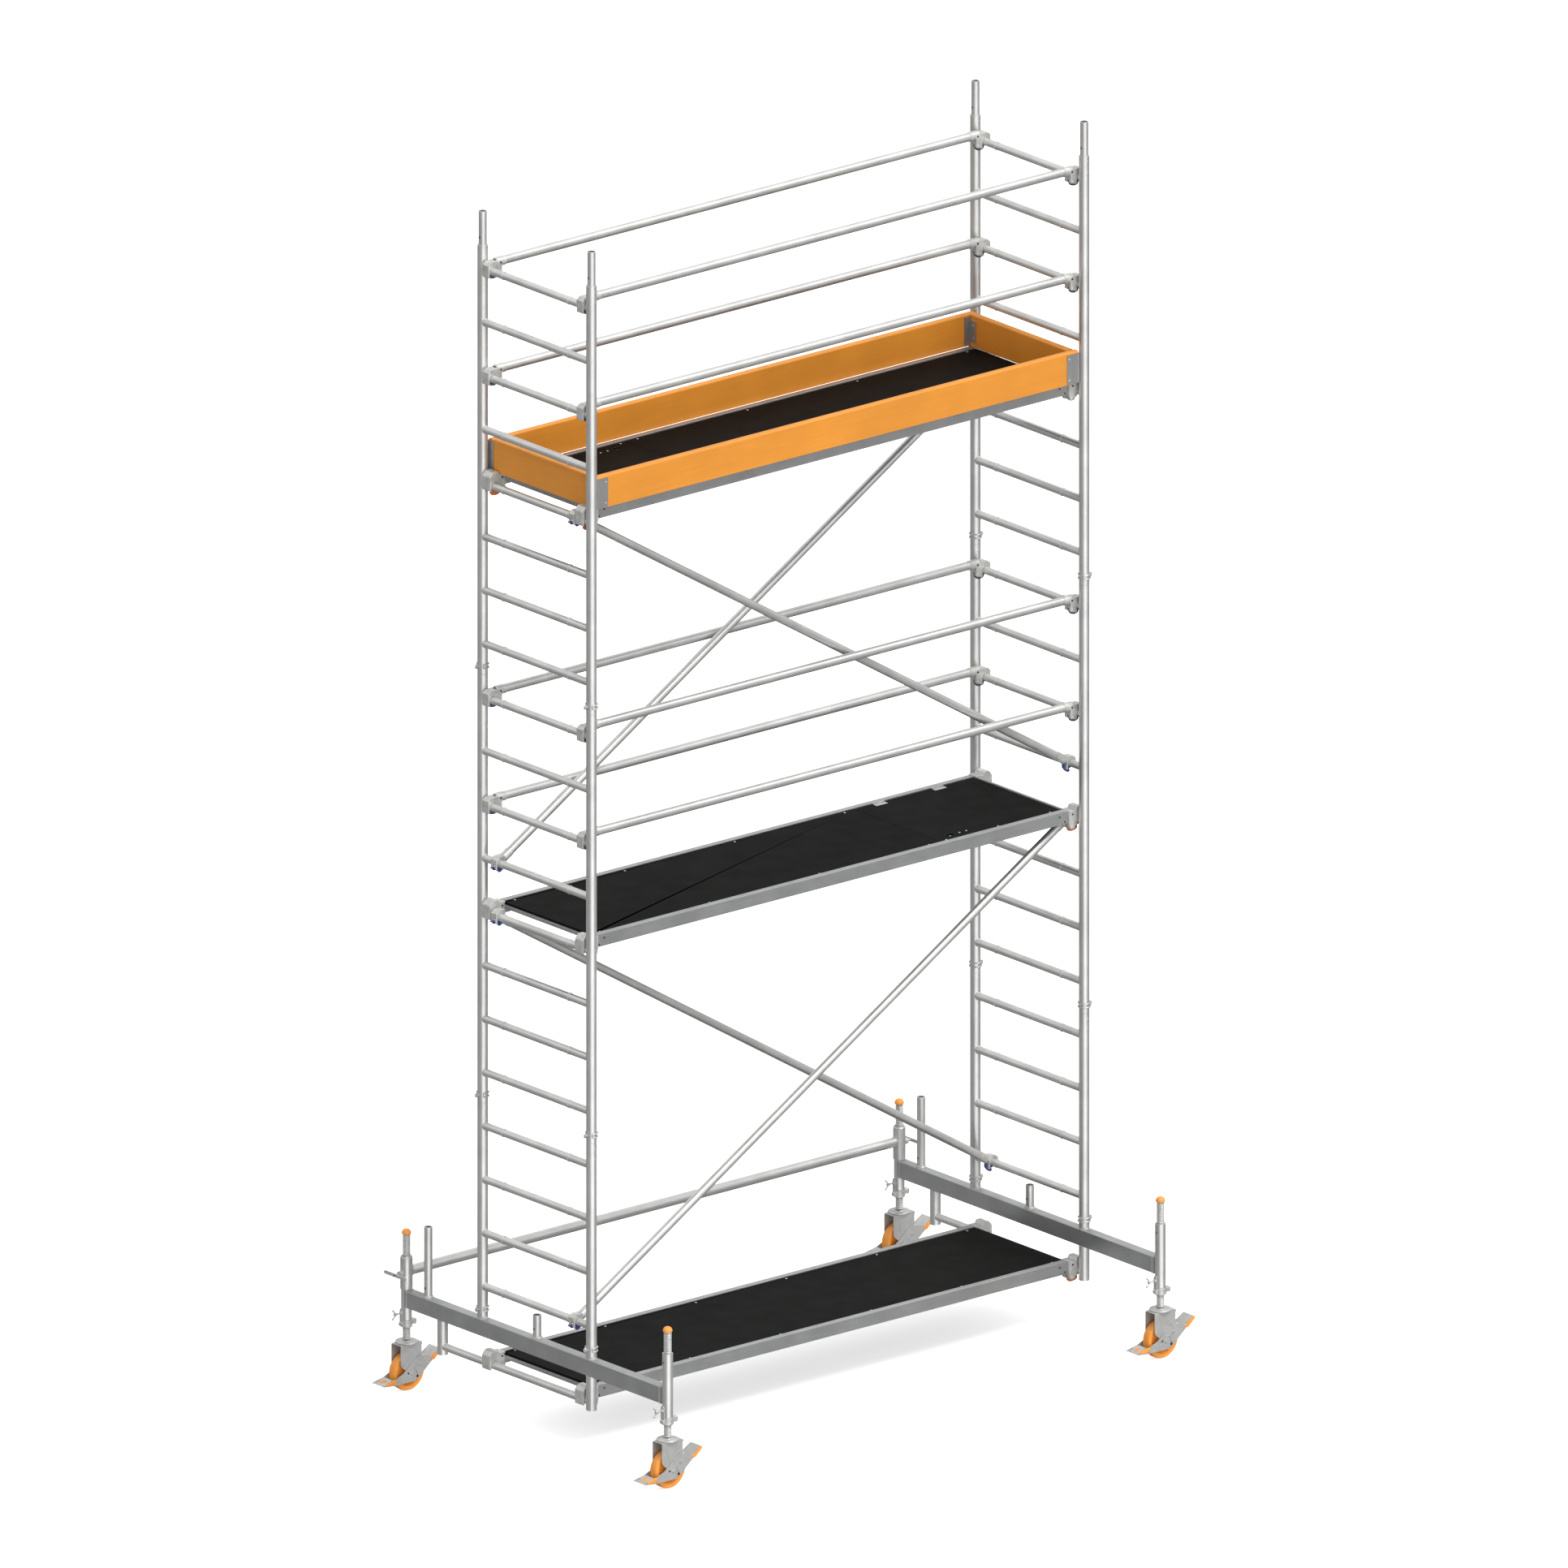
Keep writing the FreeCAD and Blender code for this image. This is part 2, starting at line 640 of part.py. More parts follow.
def pinned_pawl(pivot, reach, claw_width):
    """Pawl joined with its pivot pin, which runs in the claw's two cheeks; reach in degrees."""
    half = claw_width / 2
    pin = bar_y(pivot[0], pivot[1], -half, half, pawl_pin_radius)
    return joined(pawl(pivot, math.radians(reach)) + [pin])


def pawl_cuts(pivot, claw_width, slot_range):
    """Slot for the pawl and hole for its pin, to be cut from a claw."""
    half = claw_width / 2
    slot = box(slot_range, (-pawl_slot / 2, pawl_slot / 2), (-2 * deck_claw_lug, claw_web))
    hole = bar_y(pivot[0], pivot[1], -half, half, pawl_pin_radius + running_fit)
    return [slot, hole]


def deck_claw():
    """Cast claw at a deck's corner, with the plug that fills the end of the side rail."""
    half = deck_claw_width / 2
    root = deck_half_length - stile_x
    top = deck_rise
    slope_start, slope_end = deck_claw_slope
    nose_start, nose_drop = deck_claw_nose
    jaw, lug_start, lug_end = deck_claw_jaw
    outline = [(root, top - side_rail_height), (root, top), (slope_start, top),
               (slope_end, top + deck_claw_hump), (nose_start, top + deck_claw_hump),
               (claw_outer, top - nose_drop), (claw_outer, -claw_foot), (jaw, -claw_foot),
               (lug_start, -deck_claw_lug), (lug_end, -deck_claw_lug)]
    block = plate_y(outline, -half, half)
    inset = side_rail_wall + plug_fit
    plug = box((root - plug_length, root), (-side_rail_width / 2 + inset, side_rail_width / 2 - inset),
               (top - side_rail_height + inset, top - inset))
    plug.translate(Vector(0, side_inner + side_rail_width / 2 - deck_claw_y, 0))
    cuts = tube_cavity(half) + pawl_cuts(deck_pawl_pivot, deck_claw_width, (root, -claw_radius))
    return joined([block, plug]).cut(cuts)


def socketed_claw(width, top, rise, angle, tube_r, sleeve, lug, pivot, slot_range):
    """Cast claw with a round socket for a tube.

    The socket leans by angle (radians, up is positive) on its way in from the claw.
    """
    half = width / 2
    nose_start, nose_drop = socket_claw_nose
    hook = plate_y([(lug, -claw_foot), (lug, top), (nose_start, top),
                    (claw_outer, top - nose_drop), (claw_outer, -socket_claw_foot),
                    (socket_claw_jaw, -socket_claw_foot)], -half, half)
    inward = Vector(-math.cos(angle), 0, math.sin(angle))
    base = Vector(0, 0, rise)
    socket = rod(tube_r + sleeve, base + inward * socket_start, base + inward * socket_end)
    bore = rod(tube_r + socket_fit, base + inward * socket_floor, base + inward * socket_end)
    cuts = [bore] + tube_cavity(half) + pawl_cuts(pivot, width, slot_range)
    return joined([hook, socket]).cut(cuts)


def brace_angle(pair):
    """Slope of a brace that climbs between two rungs over the length of the bay."""
    low, high = pair
    return math.atan2(rung_height(high) - rung_height(low), bay_length)


def brace_ends():
    """Every brace end: (end, side, rung height, slope on the way in, rung pair)."""
    found = []
    for pair in brace_rungs:
        low, high = pair
        slope = brace_angle(pair)
        climbs_from = "left" if pair == brace_rungs[0] else "right"
        for side_name, side in sides.items():
            low_end = ends[climbs_from] if side_name == "front" else -ends[climbs_from]
            found.append((low_end, side, rung_height(low), slope, pair))
            found.append((-low_end, side, rung_height(high), -slope, pair))
    return found


def brace_tube(low_end, side, pair):
    """Diagonal tube between the sockets of two brace claws."""
    low, high = pair
    start = Vector(low_end * stile_x, side * brace_y, rung_height(low))
    end = Vector(-low_end * stile_x, side * brace_y, rung_height(high))
    line = (end - start).normalize()
    return pipe(brace_radius, brace_radius - brace_wall,
                start + line * socket_floor, end - line * socket_floor)


# --- Decks ---------------------------------------------------------------------------------------
def deck_frame(top, hatch_end, hinge_side):
    """Side rails, board ledges and cross members of one deck; hatch_end is 0 for a plain deck."""
    reach = deck_half_length
    low = top - side_rail_height
    solids = []
    board_bottom = top - board_recess - board_thickness
    for side in sides.values():
        outer = box((-reach, reach), (side * side_inner, side * side_outer), (low, top))
        wall = side_rail_wall
        inner = box((-reach, reach), (side * (side_inner + wall), side * (side_outer - wall)),
                    (low + wall, top - wall))
        solids.append(outer.cut(inner))
        span = [-reach, reach]
        if hatch_end and side == hinge_side:
            span = [-hatch_end * reach, hatch_end * (hatch_start - hatch_trimmer_width)]
        solids.append(box(span, (side * side_inner, side * (side_inner - ledge_width)),
                          (board_bottom - ledge_thickness, board_bottom)))
    member_top = board_bottom - ledge_thickness
    members = list(cross_member_x)
    if hatch_end:
        members = [place for place in members if place * hatch_end < hatch_start - cross_member_width]
        members.append(hatch_end * (hatch_start - cross_member_width / 2))
    for place in members:
        solids.append(cross_member(place, low, member_top))
    for end in ends.values():
        solids.append(end_member(top, end, end == hatch_end))
    return solids


def cross_member(x, low, high):
    """Hollow cross member under the board, between the side rails."""
    half = cross_member_width / 2
    wall = side_rail_wall
    outer = box((x - half, x + half), (-side_inner, side_inner), (low, high))
    inner = box((x - half + wall, x + half - wall), (-side_inner, side_inner), (low + wall, high - wall))
    return outer.cut(inner)


def end_member(top, end, at_hatch):
    """Cross member at one end of a deck; at a hatch it rises flush with the side rails."""
    board_bottom = top - board_recess - board_thickness
    outer_x = deck_half_length + board_overhang
    member_top = top if at_hatch else board_bottom
    bar = box((end * (outer_x - end_member_width), end * outer_x), (-side_inner, side_inner),
              (board_bottom - end_member_height, member_top))
    corners = []
    for side in sides.values():
        corners.append(box((end * deck_half_length, end * outer_x),
                           (side * side_inner, side * (deck_claw_y - deck_claw_width / 2)),
                           (board_bottom - end_member_height, top)))
    ledges = [box((end * (outer_x - end_member_width), end * outer_x),
                  (side * side_inner, side * (side_inner - ledge_width)),
                  (board_bottom - ledge_thickness, board_bottom)) for side in sides.values()]
    return bar.cut(corners + ledges)


def deck_board(top, hatch_end):
    """Fixed platform board of one deck."""
    board_top = top - board_recess
    reach = deck_half_length + board_overhang
    half = side_inner - plug_fit
    span = [-reach, reach]
    if hatch_end:
        span = [-hatch_end * reach, hatch_end * (hatch_start - hatch_gap / 2)]
    board = box(span, (-half, half), (board_top - board_thickness, board_top))
    corners = []
    for end in ends.values():
        for side in sides.values():
            corners.append(box((end * (deck_half_length - plug_fit), end * reach),
                               (side * half, side * (deck_claw_y - deck_claw_width / 2 - plug_fit)),
                               (board_top - board_thickness, board_top)))
    return board.cut(corners)


def hatch_axis(top, hinge_side):
    """Height and place across the deck of a hatch's hinge axis."""
    axis_y = hinge_side * (side_inner - hinge_inset)
    axis_z = top - board_recess + hinge_barrel_radius + hinge_lift
    return axis_y, axis_z


def hatch(top, end, hinge_side):
    """Hatch board with its finger hole and the moving leaves of its hinges."""
    board_top = top - board_recess
    half = side_inner - hatch_gap
    stop = deck_half_length + board_overhang - end_member_width - hatch_gap
    start = hatch_start + hatch_gap / 2
    board = box((end * start, end * stop), (-half, half), (board_top - board_thickness, board_top))
    hole_y = -hinge_side * finger_hole_y
    slot_half = (finger_hole_length - finger_hole_width) / 2
    cuts = [box((end * finger_hole_x - slot_half, end * finger_hole_x + slot_half),
                (hole_y - finger_hole_width / 2, hole_y + finger_hole_width / 2),
                (board_top - board_thickness, board_top))]
    for offset in (-slot_half, slot_half):
        cuts.append(upright(end * finger_hole_x + offset, hole_y, board_top - board_thickness,
                            board_top, finger_hole_width / 2))
    corner = deck_claw_y - deck_claw_width / 2 - hatch_gap
    for side in sides.values():
        cuts.append(box((end * (deck_half_length - hatch_gap), end * (stop + hatch_gap)),
                        (side * corner, side * side_inner),
                        (board_top - board_thickness, board_top)))
    solids = [board.cut(cuts)]
    axis_y, axis_z = hatch_axis(top, hinge_side)
    for place in hinge_places:
        third = hinge_length / 6 - loose_fit
        x_low = end * place - third
        x_high = end * place + third
        barrel = bar_x(axis_y, axis_z, x_low, x_high, hinge_barrel_radius)
        web = box((x_low, x_high), (axis_y, axis_y - hinge_side * 2 * hinge_barrel_radius),
                  (board_top, axis_z))
        leaf = box((end * place - hinge_length / 2, end * place + hinge_length / 2),
                   (axis_y - hinge_side * hinge_leaf_start * hinge_barrel_radius,
                    axis_y - hinge_side * hinge_leaf_width),
                   (board_top, board_top + hinge_leaf_thickness))
        bore = bar_x(axis_y, axis_z, x_low, x_high, hinge_pin_radius + running_fit)
        solids.append(joined([barrel, web, leaf]).cut(bore))
    return solids


def hatch_hinges(top, end, hinge_side):
    """Fixed knuckles on the side rail's lip and the pins through them."""
    axis_y, axis_z = hatch_axis(top, hinge_side)
    solids = []
    for place in hinge_places:
        knuckles = []
        for side in (-1, 1):
            x_low = end * place + side * hinge_length / 6
            x_high = end * place + side * hinge_length / 2
            low, high = min(x_low, x_high), max(x_low, x_high)
            knuckles.append(bar_x(axis_y, axis_z, low, high, hinge_barrel_radius))
            knuckles.append(box((low, high), (axis_y, hinge_side * side_inner),
                                (axis_z - hinge_barrel_radius / 2, axis_z + hinge_barrel_radius / 2)))
        pin = bar_x(axis_y, axis_z, end * place - hinge_length / 2, end * place + hinge_length / 2,
                    hinge_pin_radius)
        solids.append(joined(knuckles + [pin]))
    return solids


def deck_rivets(top):
    """Rivet heads on the outer faces of a deck's side rails, where the claws are fixed."""
    solids = []
    for end in ends.values():
        for side in sides.values():
            for back, drop in rail_rivets:
                x = end * (deck_half_length - back)
                solids.append(bar_y(x, top - drop, side * side_outer,
                                    side * (side_outer + rivet_height), rivet_radius))
    return solids


# --- Toe boards ----------------------------------------------------------------------------------
def toe_boards(top):
    """Two long boards beside the top deck and two end boards between them."""
    boards = []
    for side in sides.values():
        board = box((-toe_half_length, toe_half_length), (side * toe_inner_y, side * toe_outer_y),
                    (top, top + toe_height))
        boards.append(rounded_top(board, top + toe_height))
    return boards


def end_toe_boards(top):
    """Toe boards across the two ends of the top deck."""
    boards = []
    outer = toe_half_length
    for end in ends.values():
        board = box((end * (outer - toe_thickness), end * outer),
                    (-end_toe_half_length, end_toe_half_length), (top, top + toe_height))
        boards.append(rounded_top(board, top + toe_height))
    return boards


def rounded_top(board, top):
    """Board with its two long upper edges rounded."""
    longest = max(edge.Length for edge in board.Edges)
    edges = [edge for edge in board.Edges
             if abs(edge.CenterOfMass.z - top) < 0.01 and edge.Length > longest - 0.01]
    return board.makeFillet(toe_rounding, edges)


def toe_bracket(top, end, side):
    """Corner bracket: a channel over the long board's end and a flange behind the end board."""
    low = top + bracket_margin
    high = top + toe_height - 2 * bracket_margin - toe_rounding / 2
    start = toe_half_length - bracket_length + bracket_plate
    stop = toe_half_length + loose_fit
    inner = toe_inner_y - loose_fit
    outer = toe_outer_y + loose_fit
    plates = [
        box((end * start, end * (stop + bracket_plate)), (side * outer, side * (outer + bracket_plate)),
            (low, high)),
        box((end * stop, end * (stop + bracket_plate)),
            (side * (inner - bracket_plate), side * (outer + bracket_plate)), (low, high)),
        box((end * start, end * (stop + bracket_plate)), (side * (inner - bracket_plate), side * inner),
            (low, high)),
    ]
    flange_x = toe_half_length - toe_thickness - loose_fit
    middle = (low + high) / 2
    plates.append(box((end * (flange_x - bracket_plate), end * flange_x),
                      (side * inner, side * (inner - bracket_flange)),
                      (middle - bracket_flange_height / 2, middle + bracket_flange_height / 2)))
    return joined(plates)


# --- Assembly ------------------------------------------------------------------------------------
def build_frames():
    """Mobile beams, ladder frames and the clips at their joints."""
    clips = []
    for name, end in ends.items():
        x = end * stile_x
        save(name + "_beam", mobile_beam(x))
        base = frame_base
        first = 0
        for level, count in frame_rungs.items():
            save(name + "_" + level + "_frame", ladder_frame(x, base, first, count))
            for y in (-stile_y, stile_y):
                clips.append(frame_clip(x, y, base))
            base += count * rung_pitch
            first += count
    save("frame_clips", clips)
    save("base_strut", base_strut())
    for name, end in ends.items():
        save(name + "_strut_screw", [clamp_screw(end)])


def build_castors():
    """Four castor legs, each of five nodes."""
    makers = {"spindle": spindle, "spindle_nut": spindle_nut, "castor_fork": castor_fork,
              "wheel": castor_wheel, "brake_lever": brake_lever}
    for end_name, end in ends.items():
        for side_name, side in sides.items():
            for piece, maker in makers.items():
                save("_".join((end_name, side_name, piece)), maker(end * stile_x, side * leg_y))


def build_decks():
    """Deck frames, boards, hatches, hinges, claws, rivets and wind locks."""
    hatch_ends = {"bottom": 0, "middle": 1, "top": -1}
    lock_ends = {"bottom": 1, "middle": 1, "top": -1}
    claw = deck_claw()
    lock = pinned_pawl(deck_pawl_pivot, deck_pawl_reach, deck_claw_width)
    claws = []
    hinges = []
    rivets = []
    for name, top in decks.items():
        end = hatch_ends[name]
        save(name + "_deck_frame", deck_frame(top, end, end))
        save(name + "_deck_board", [deck_board(top, end)])
        if end:
            save(name + "_hatch", hatch(top, end, end))
            hinges.extend(hatch_hinges(top, end, end))
        rivets.extend(deck_rivets(top))
        tube_z = top - deck_rise
        for side_end in ends.values():
            for side in sides.values():
                flipped = claw if side > 0 else claw.mirror(Vector(0, 0, 0), Vector(0, 1, 0))
                at_end = placed(flipped, stile_x, side * deck_claw_y, tube_z)
                claws.append(to_end(at_end, side_end))
        for side_name, side in sides.items():
            at_end = placed(lock, stile_x, side * deck_claw_y, tube_z)
            save("_".join((name, side_name, "wind_lock")), [to_end(at_end, lock_ends[name])])
    save("deck_claws", claws)
    save("hatch_hinges", hinges)
    save("deck_rivets", rivets)


def build_rails():
    """Guard rails with their claws and pawls."""
    claw = socketed_claw(rail_claw_width, rail_claw_top, guard_rail_rise, 0.0, guard_rail_radius,
                         rail_sleeve, rail_claw_lug, rail_pawl_pivot,
                         (rail_pawl_slot, -claw_radius))
    latch = pinned_pawl(rail_pawl_pivot, rail_pawl_reach, rail_claw_width)
    claws = []
    latches = []
    reach = stile_x - socket_floor
    for side_name, side in sides.items():
        rails = []
        for number in rail_rungs:
            height = rung_height(number)
            axis_z = height + guard_rail_rise
            rails.append(pipe(guard_rail_radius, guard_rail_radius - guard_rail_wall,
                              Vector(-reach, side * guard_rail_y, axis_z),
                              Vector(reach, side * guard_rail_y, axis_z)))
            for end in ends.values():
                claws.append(to_end(placed(claw, stile_x, side * guard_rail_y, height), end))
                latches.append(to_end(placed(latch, stile_x, side * guard_rail_y, height), end))
        save(side_name + "_guard_rails", rails)
    save("rail_claws", claws)
    save("rail_pawls", latches)


def build_braces():
    """Diagonal braces with their claws and pawls."""
    latch = pinned_pawl(brace_pawl_pivot, brace_pawl_reach, brace_claw_width)
    claws = []
    latches = []
    tubes = {side: [] for side in sides.values()}
    for end, side, height, slope, pair in brace_ends():
        claw = socketed_claw(brace_claw_width, brace_claw_top, 0.0, slope, brace_radius,
                             brace_sleeve, brace_claw_lug, brace_pawl_pivot,
                             (claw_radius, claw_outer + brace_pawl_slot))
        claws.append(to_end(placed(claw, stile_x, side * brace_y, height), end))
        latches.append(to_end(placed(latch, stile_x, side * brace_y, height), end))
        if slope > 0:
            tubes[side].append(brace_tube(end, side, pair))
    for name, side in sides.items():
        save(name + "_braces", tubes[side])
    save("brace_claws", claws)
    save("brace_pawls", latches)


def build_toe_boards():
    """Toe boards and their corner brackets on the top deck."""
    top = decks["top"]
    save("side_toe_boards", toe_boards(top))
    save("end_toe_boards", end_toe_boards(top))
    brackets = [toe_bracket(top, end, side) for end in ends.values() for side in sides.values()]
    save("toe_board_brackets", brackets)


os.makedirs("parts", exist_ok=True)
build_frames()
build_castors()
build_decks()
build_rails()
build_braces()
build_toe_boards()
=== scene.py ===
"""Looks of a mobile tower scaffold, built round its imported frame.

Lengths are metres in the frame's own axes: X along the bay, Y across it, Z up.  Outlines are
written in millimetres and scaled by mm().  Every piece is modelled at its place, so its object
stays at the origin.
"""
import logging
import math
from contextlib import contextmanager
from dataclasses import dataclass
from enum import Enum
from typing import Callable, Iterable, Iterator, Sequence

import bmesh
import bpy
from mathutils import Matrix, Vector


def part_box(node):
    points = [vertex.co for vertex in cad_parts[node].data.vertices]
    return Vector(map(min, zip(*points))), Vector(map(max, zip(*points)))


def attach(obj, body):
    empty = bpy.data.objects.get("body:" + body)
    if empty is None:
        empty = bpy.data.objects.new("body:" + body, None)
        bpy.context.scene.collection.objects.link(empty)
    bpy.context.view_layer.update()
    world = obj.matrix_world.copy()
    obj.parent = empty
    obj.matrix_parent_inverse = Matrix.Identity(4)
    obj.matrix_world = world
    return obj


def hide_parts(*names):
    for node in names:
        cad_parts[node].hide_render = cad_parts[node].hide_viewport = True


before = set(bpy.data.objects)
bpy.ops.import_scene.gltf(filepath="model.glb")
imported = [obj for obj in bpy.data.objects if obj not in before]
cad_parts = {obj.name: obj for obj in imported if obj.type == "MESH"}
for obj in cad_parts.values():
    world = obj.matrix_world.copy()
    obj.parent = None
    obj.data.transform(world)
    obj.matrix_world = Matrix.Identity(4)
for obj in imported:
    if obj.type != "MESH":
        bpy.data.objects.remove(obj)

Obj = bpy.types.Object
Material = bpy.types.Material
Socket = bpy.types.NodeSocket
Outline = Sequence[tuple[float, float]]
Test = Callable[[Vector, Vector], bool]

log = logging.getLogger("scaffold")
MM = 0.001
NEAR = 1e-5
FLAT = 0.9          # how square to an axis a face's normal has to be to count as facing it


class Axis(Enum):
    """Direction that a profile, a plate's thickness or a metal's grain runs in."""

    X = 0
    Y = 1
    Z = 2


TOWER = "tower"     # the body that carries all that doesn't move
ENDS = {"left": -1, "right": 1}
SIDES = {"front": -1, "rear": 1}
BOTH = (-1, 1)
CORNERS = [(end, side) for end in ENDS.values() for side in SIDES.values()]


# --- Bench: one mesh and the operators that shape it ---
def mm(points: Outline) -> list[tuple[float, float]]:
    """Points in metres from points in millimetres."""
    return [(a * MM, b * MM) for a, b in points]


def arc(centre: tuple[float, float], radius: float, start: float, stop: float,
        steps: int = 12) -> list[tuple[float, float]]:
    """Points along an arc.

    Args:
        centre: middle of the arc.
        radius: its radius.
        start: first angle in degrees.
        stop: last angle in degrees.
        steps: number of equal steps.

    Returns:
        The steps + 1 points.
    """
    angles = [math.radians(start + (stop - start) * n / steps) for n in range(steps + 1)]
    return [(centre[0] + radius * math.cos(a), centre[1] + radius * math.sin(a)) for a in angles]


def aim(start: Sequence[float], end: Sequence[float]) -> Matrix:
    """Matrix that stands the Z axis at start and points it at end."""
    line = Vector(end) - Vector(start)
    return Matrix.Translation(Vector(start)) @ line.to_track_quat("Z", "Y").to_matrix().to_4x4()


def shift(x: float = 0.0, y: float = 0.0, z: float = 0.0) -> Matrix:
    """Matrix that only moves."""
    return Matrix.Translation(Vector((x, y, z)))


def quarter(axis: Axis, turns: int = 1) -> Matrix:
    """Quarter turns about an axis."""
    return Matrix.Rotation(turns * math.pi / 2, 4, axis.name)


def facing(end: int, side: int = 1) -> Matrix:
    """Mirror that takes a piece made for the +X end and +Y side to another corner."""
    return Matrix.Diagonal((end, side, 1.0, 1.0))


def pick(objects: Iterable[Obj]) -> None:
    """Leave only these objects selected, the first of them active."""
    for other in list(bpy.context.selected_objects):
        other.select_set(False)
    chosen = list(objects)
    for obj in chosen:
        obj.select_set(True)
    if chosen:
        bpy.context.view_layer.objects.active = chosen[0]


@contextmanager
def editing(obj: Obj, mode: str = "FACE") -> Iterator[None]:
    """Edit mode on one object, with nothing selected in it.

    Args:
        obj: the object to edit.
        mode: FACE, EDGE or VERT.
    """
    pick([obj])
    bpy.ops.object.mode_set(mode="EDIT")
    bpy.ops.mesh.select_mode(type=mode)
    bpy.ops.mesh.select_all(action="DESELECT")
    yield
    bpy.ops.object.mode_set(mode="OBJECT")


def choose_faces(obj: Obj, test: Test) -> None:
    """Select, in edit mode, the faces whose middle and normal pass a test."""
    mesh = bmesh.from_edit_mesh(obj.data)
    for face in mesh.faces:
        face.select_set(test(face.calc_center_median(), face.normal))
    bmesh.update_edit_mesh(obj.data)


def choose_edges(obj: Obj, test: Test) -> None:
    """Select, in edit mode, the edges whose two ends pass a test."""
    mesh = bmesh.from_edit_mesh(obj.data)
    for edge in mesh.edges:
        edge.select_set(test(edge.verts[0].co, edge.verts[1].co))
    bmesh.update_edit_mesh(obj.data)


class Part:
    """One mesh on the bench, shaped from a primitive by operators."""

    def __init__(self, obj: Obj) -> None:
        """Take hold of an object."""
        self.obj = obj

    @classmethod
    def fresh(cls) -> "Part":
        """Part round the primitive just added, with its place put into its mesh."""
        obj = bpy.context.view_layer.objects.active
        pick([obj])
        bpy.ops.object.transform_apply(location=True, rotation=True, scale=True)
        return cls(obj)

    @classmethod
    def rod(cls, radius: float, low: float, high: float, sides: int = 24,
            rim: float = 0.0) -> "Part":
        """Round bar along Z, with its two rims rounded off by rim."""
        pick([])
        bpy.ops.mesh.primitive_cylinder_add(vertices=sides, radius=radius, depth=high - low,
                                            location=(0, 0, (low + high) / 2))
        part = cls.fresh()
        if rim > 0:
            part.round_rims(radius, (low, high), rim)
        return part

    @classmethod
    def tube(cls, radius: float, bore: float, low: float, high: float, sides: int = 32,
             rim: float = 0.0008) -> "Part":
        """Open tube along Z: a bar whose two ends are inset and bridged through.

        Args:
            radius: outer radius.
            bore: inner radius.
            low: height of its lower end.
            high: height of its upper end.
            sides: facets round it.
            rim: how far its outer rims are rounded.

        Returns:
            The tube.
        """
        part = cls.rod(radius, low, high, sides)
        with editing(part.obj):
            choose_faces(part.obj, lambda middle, normal: abs(normal.z) > FLAT)
            bpy.ops.mesh.inset(thickness=radius - bore, use_individual=True)
            bpy.ops.mesh.bridge_edge_loops()
        part.round_rims(radius, (low, high), rim)
        return part.outward()

    def round_rims(self, radius: float, heights: Sequence[float], amount: float) -> "Part":
        """Bevel the edge loops at these heights and this radius."""
        inside = radius - NEAR

        def on_rim(a: Vector, b: Vector) -> bool:
            """Whether an edge lies on one of the rims."""
            level = abs(a.z - b.z) < NEAR and any(abs(a.z - z) < NEAR for z in heights)
            return level and math.hypot(a.x, a.y) > inside and math.hypot(b.x, b.y) > inside

        with editing(self.obj, "EDGE"):
            choose_edges(self.obj, on_rim)
            bpy.ops.mesh.bevel(offset=amount, segments=2, affect="EDGES")
        return self

    @classmethod
    def block(cls, low: Sequence[float], high: Sequence[float], edge: float = 0.001,
              segments: int = 2) -> "Part":
        """Block between two corners, all its edges rounded by edge."""
        pick([])
        middle = [(a + b) / 2 for a, b in zip(low, high)]
        bpy.ops.mesh.primitive_cube_add(size=1.0, location=middle)
        bpy.context.view_layer.objects.active.scale = [abs(b - a) for a, b in zip(low, high)]
        part = cls.fresh()
        if edge > 0:
            with editing(part.obj, "EDGE"):
                bpy.ops.mesh.select_all(action="SELECT")
                bpy.ops.mesh.bevel(offset=edge, segments=segments, affect="EDGES")
        return part

    @classmethod
    def chain(cls, points: Sequence[Sequence[float]], closed: bool, fill: bool) -> "Part":
        """Ring of vertices set at given points, filled or not, or opened after the last point."""
        pick([])
        kind = "NGON" if fill else "NOTHING"
        bpy.ops.mesh.primitive_circle_add(vertices=len(points), fill_type=kind)
        part = cls.fresh()
        for vertex, point in zip(part.obj.data.vertices, points):
            vertex.co = Vector(point)
        if not closed:
            first, last = Vector(points[0]), Vector(points[-1])
            with editing(part.obj, "EDGE"):
                choose_edges(part.obj, lambda a, b: {a.to_tuple(6), b.to_tuple(6)}
                             == {first.to_tuple(6), last.to_tuple(6)})
                bpy.ops.mesh.delete(type="EDGE")
        return part

    @classmethod
    def plate(cls, outline: Outline, low: float, high: float, thick: Axis,
              edge: float = 0.0008, segments: int = 2) -> "Part":
        """Flat plate: a filled outline extruded, with its sharp edges rounded.

        Args:
            outline: corners in the other two axes, in alphabetical order.
            low: one face of its thickness.
            high: the other face, given in either order.
            thick: the axis its thickness runs along.
            edge: how far its edges are rounded.
            segments: facets across a rounded edge.

        Returns:
            The plate.
        """
        low, high = sorted((low, high))
        points = [[a, b] for a, b in outline]
        for point in points:
            point.insert(thick.value, low)
        part = cls.chain(points, closed=True, fill=True)
        step = [0.0, 0.0, 0.0]
        step[thick.value] = high - low
        with editing(part.obj):
            bpy.ops.mesh.select_all(action="SELECT")
            bpy.ops.mesh.extrude_region_move(TRANSFORM_OT_translate={"value": step})
        part.outward()
        if edge > 0:
            part.rounded(edge, segments)
        return part

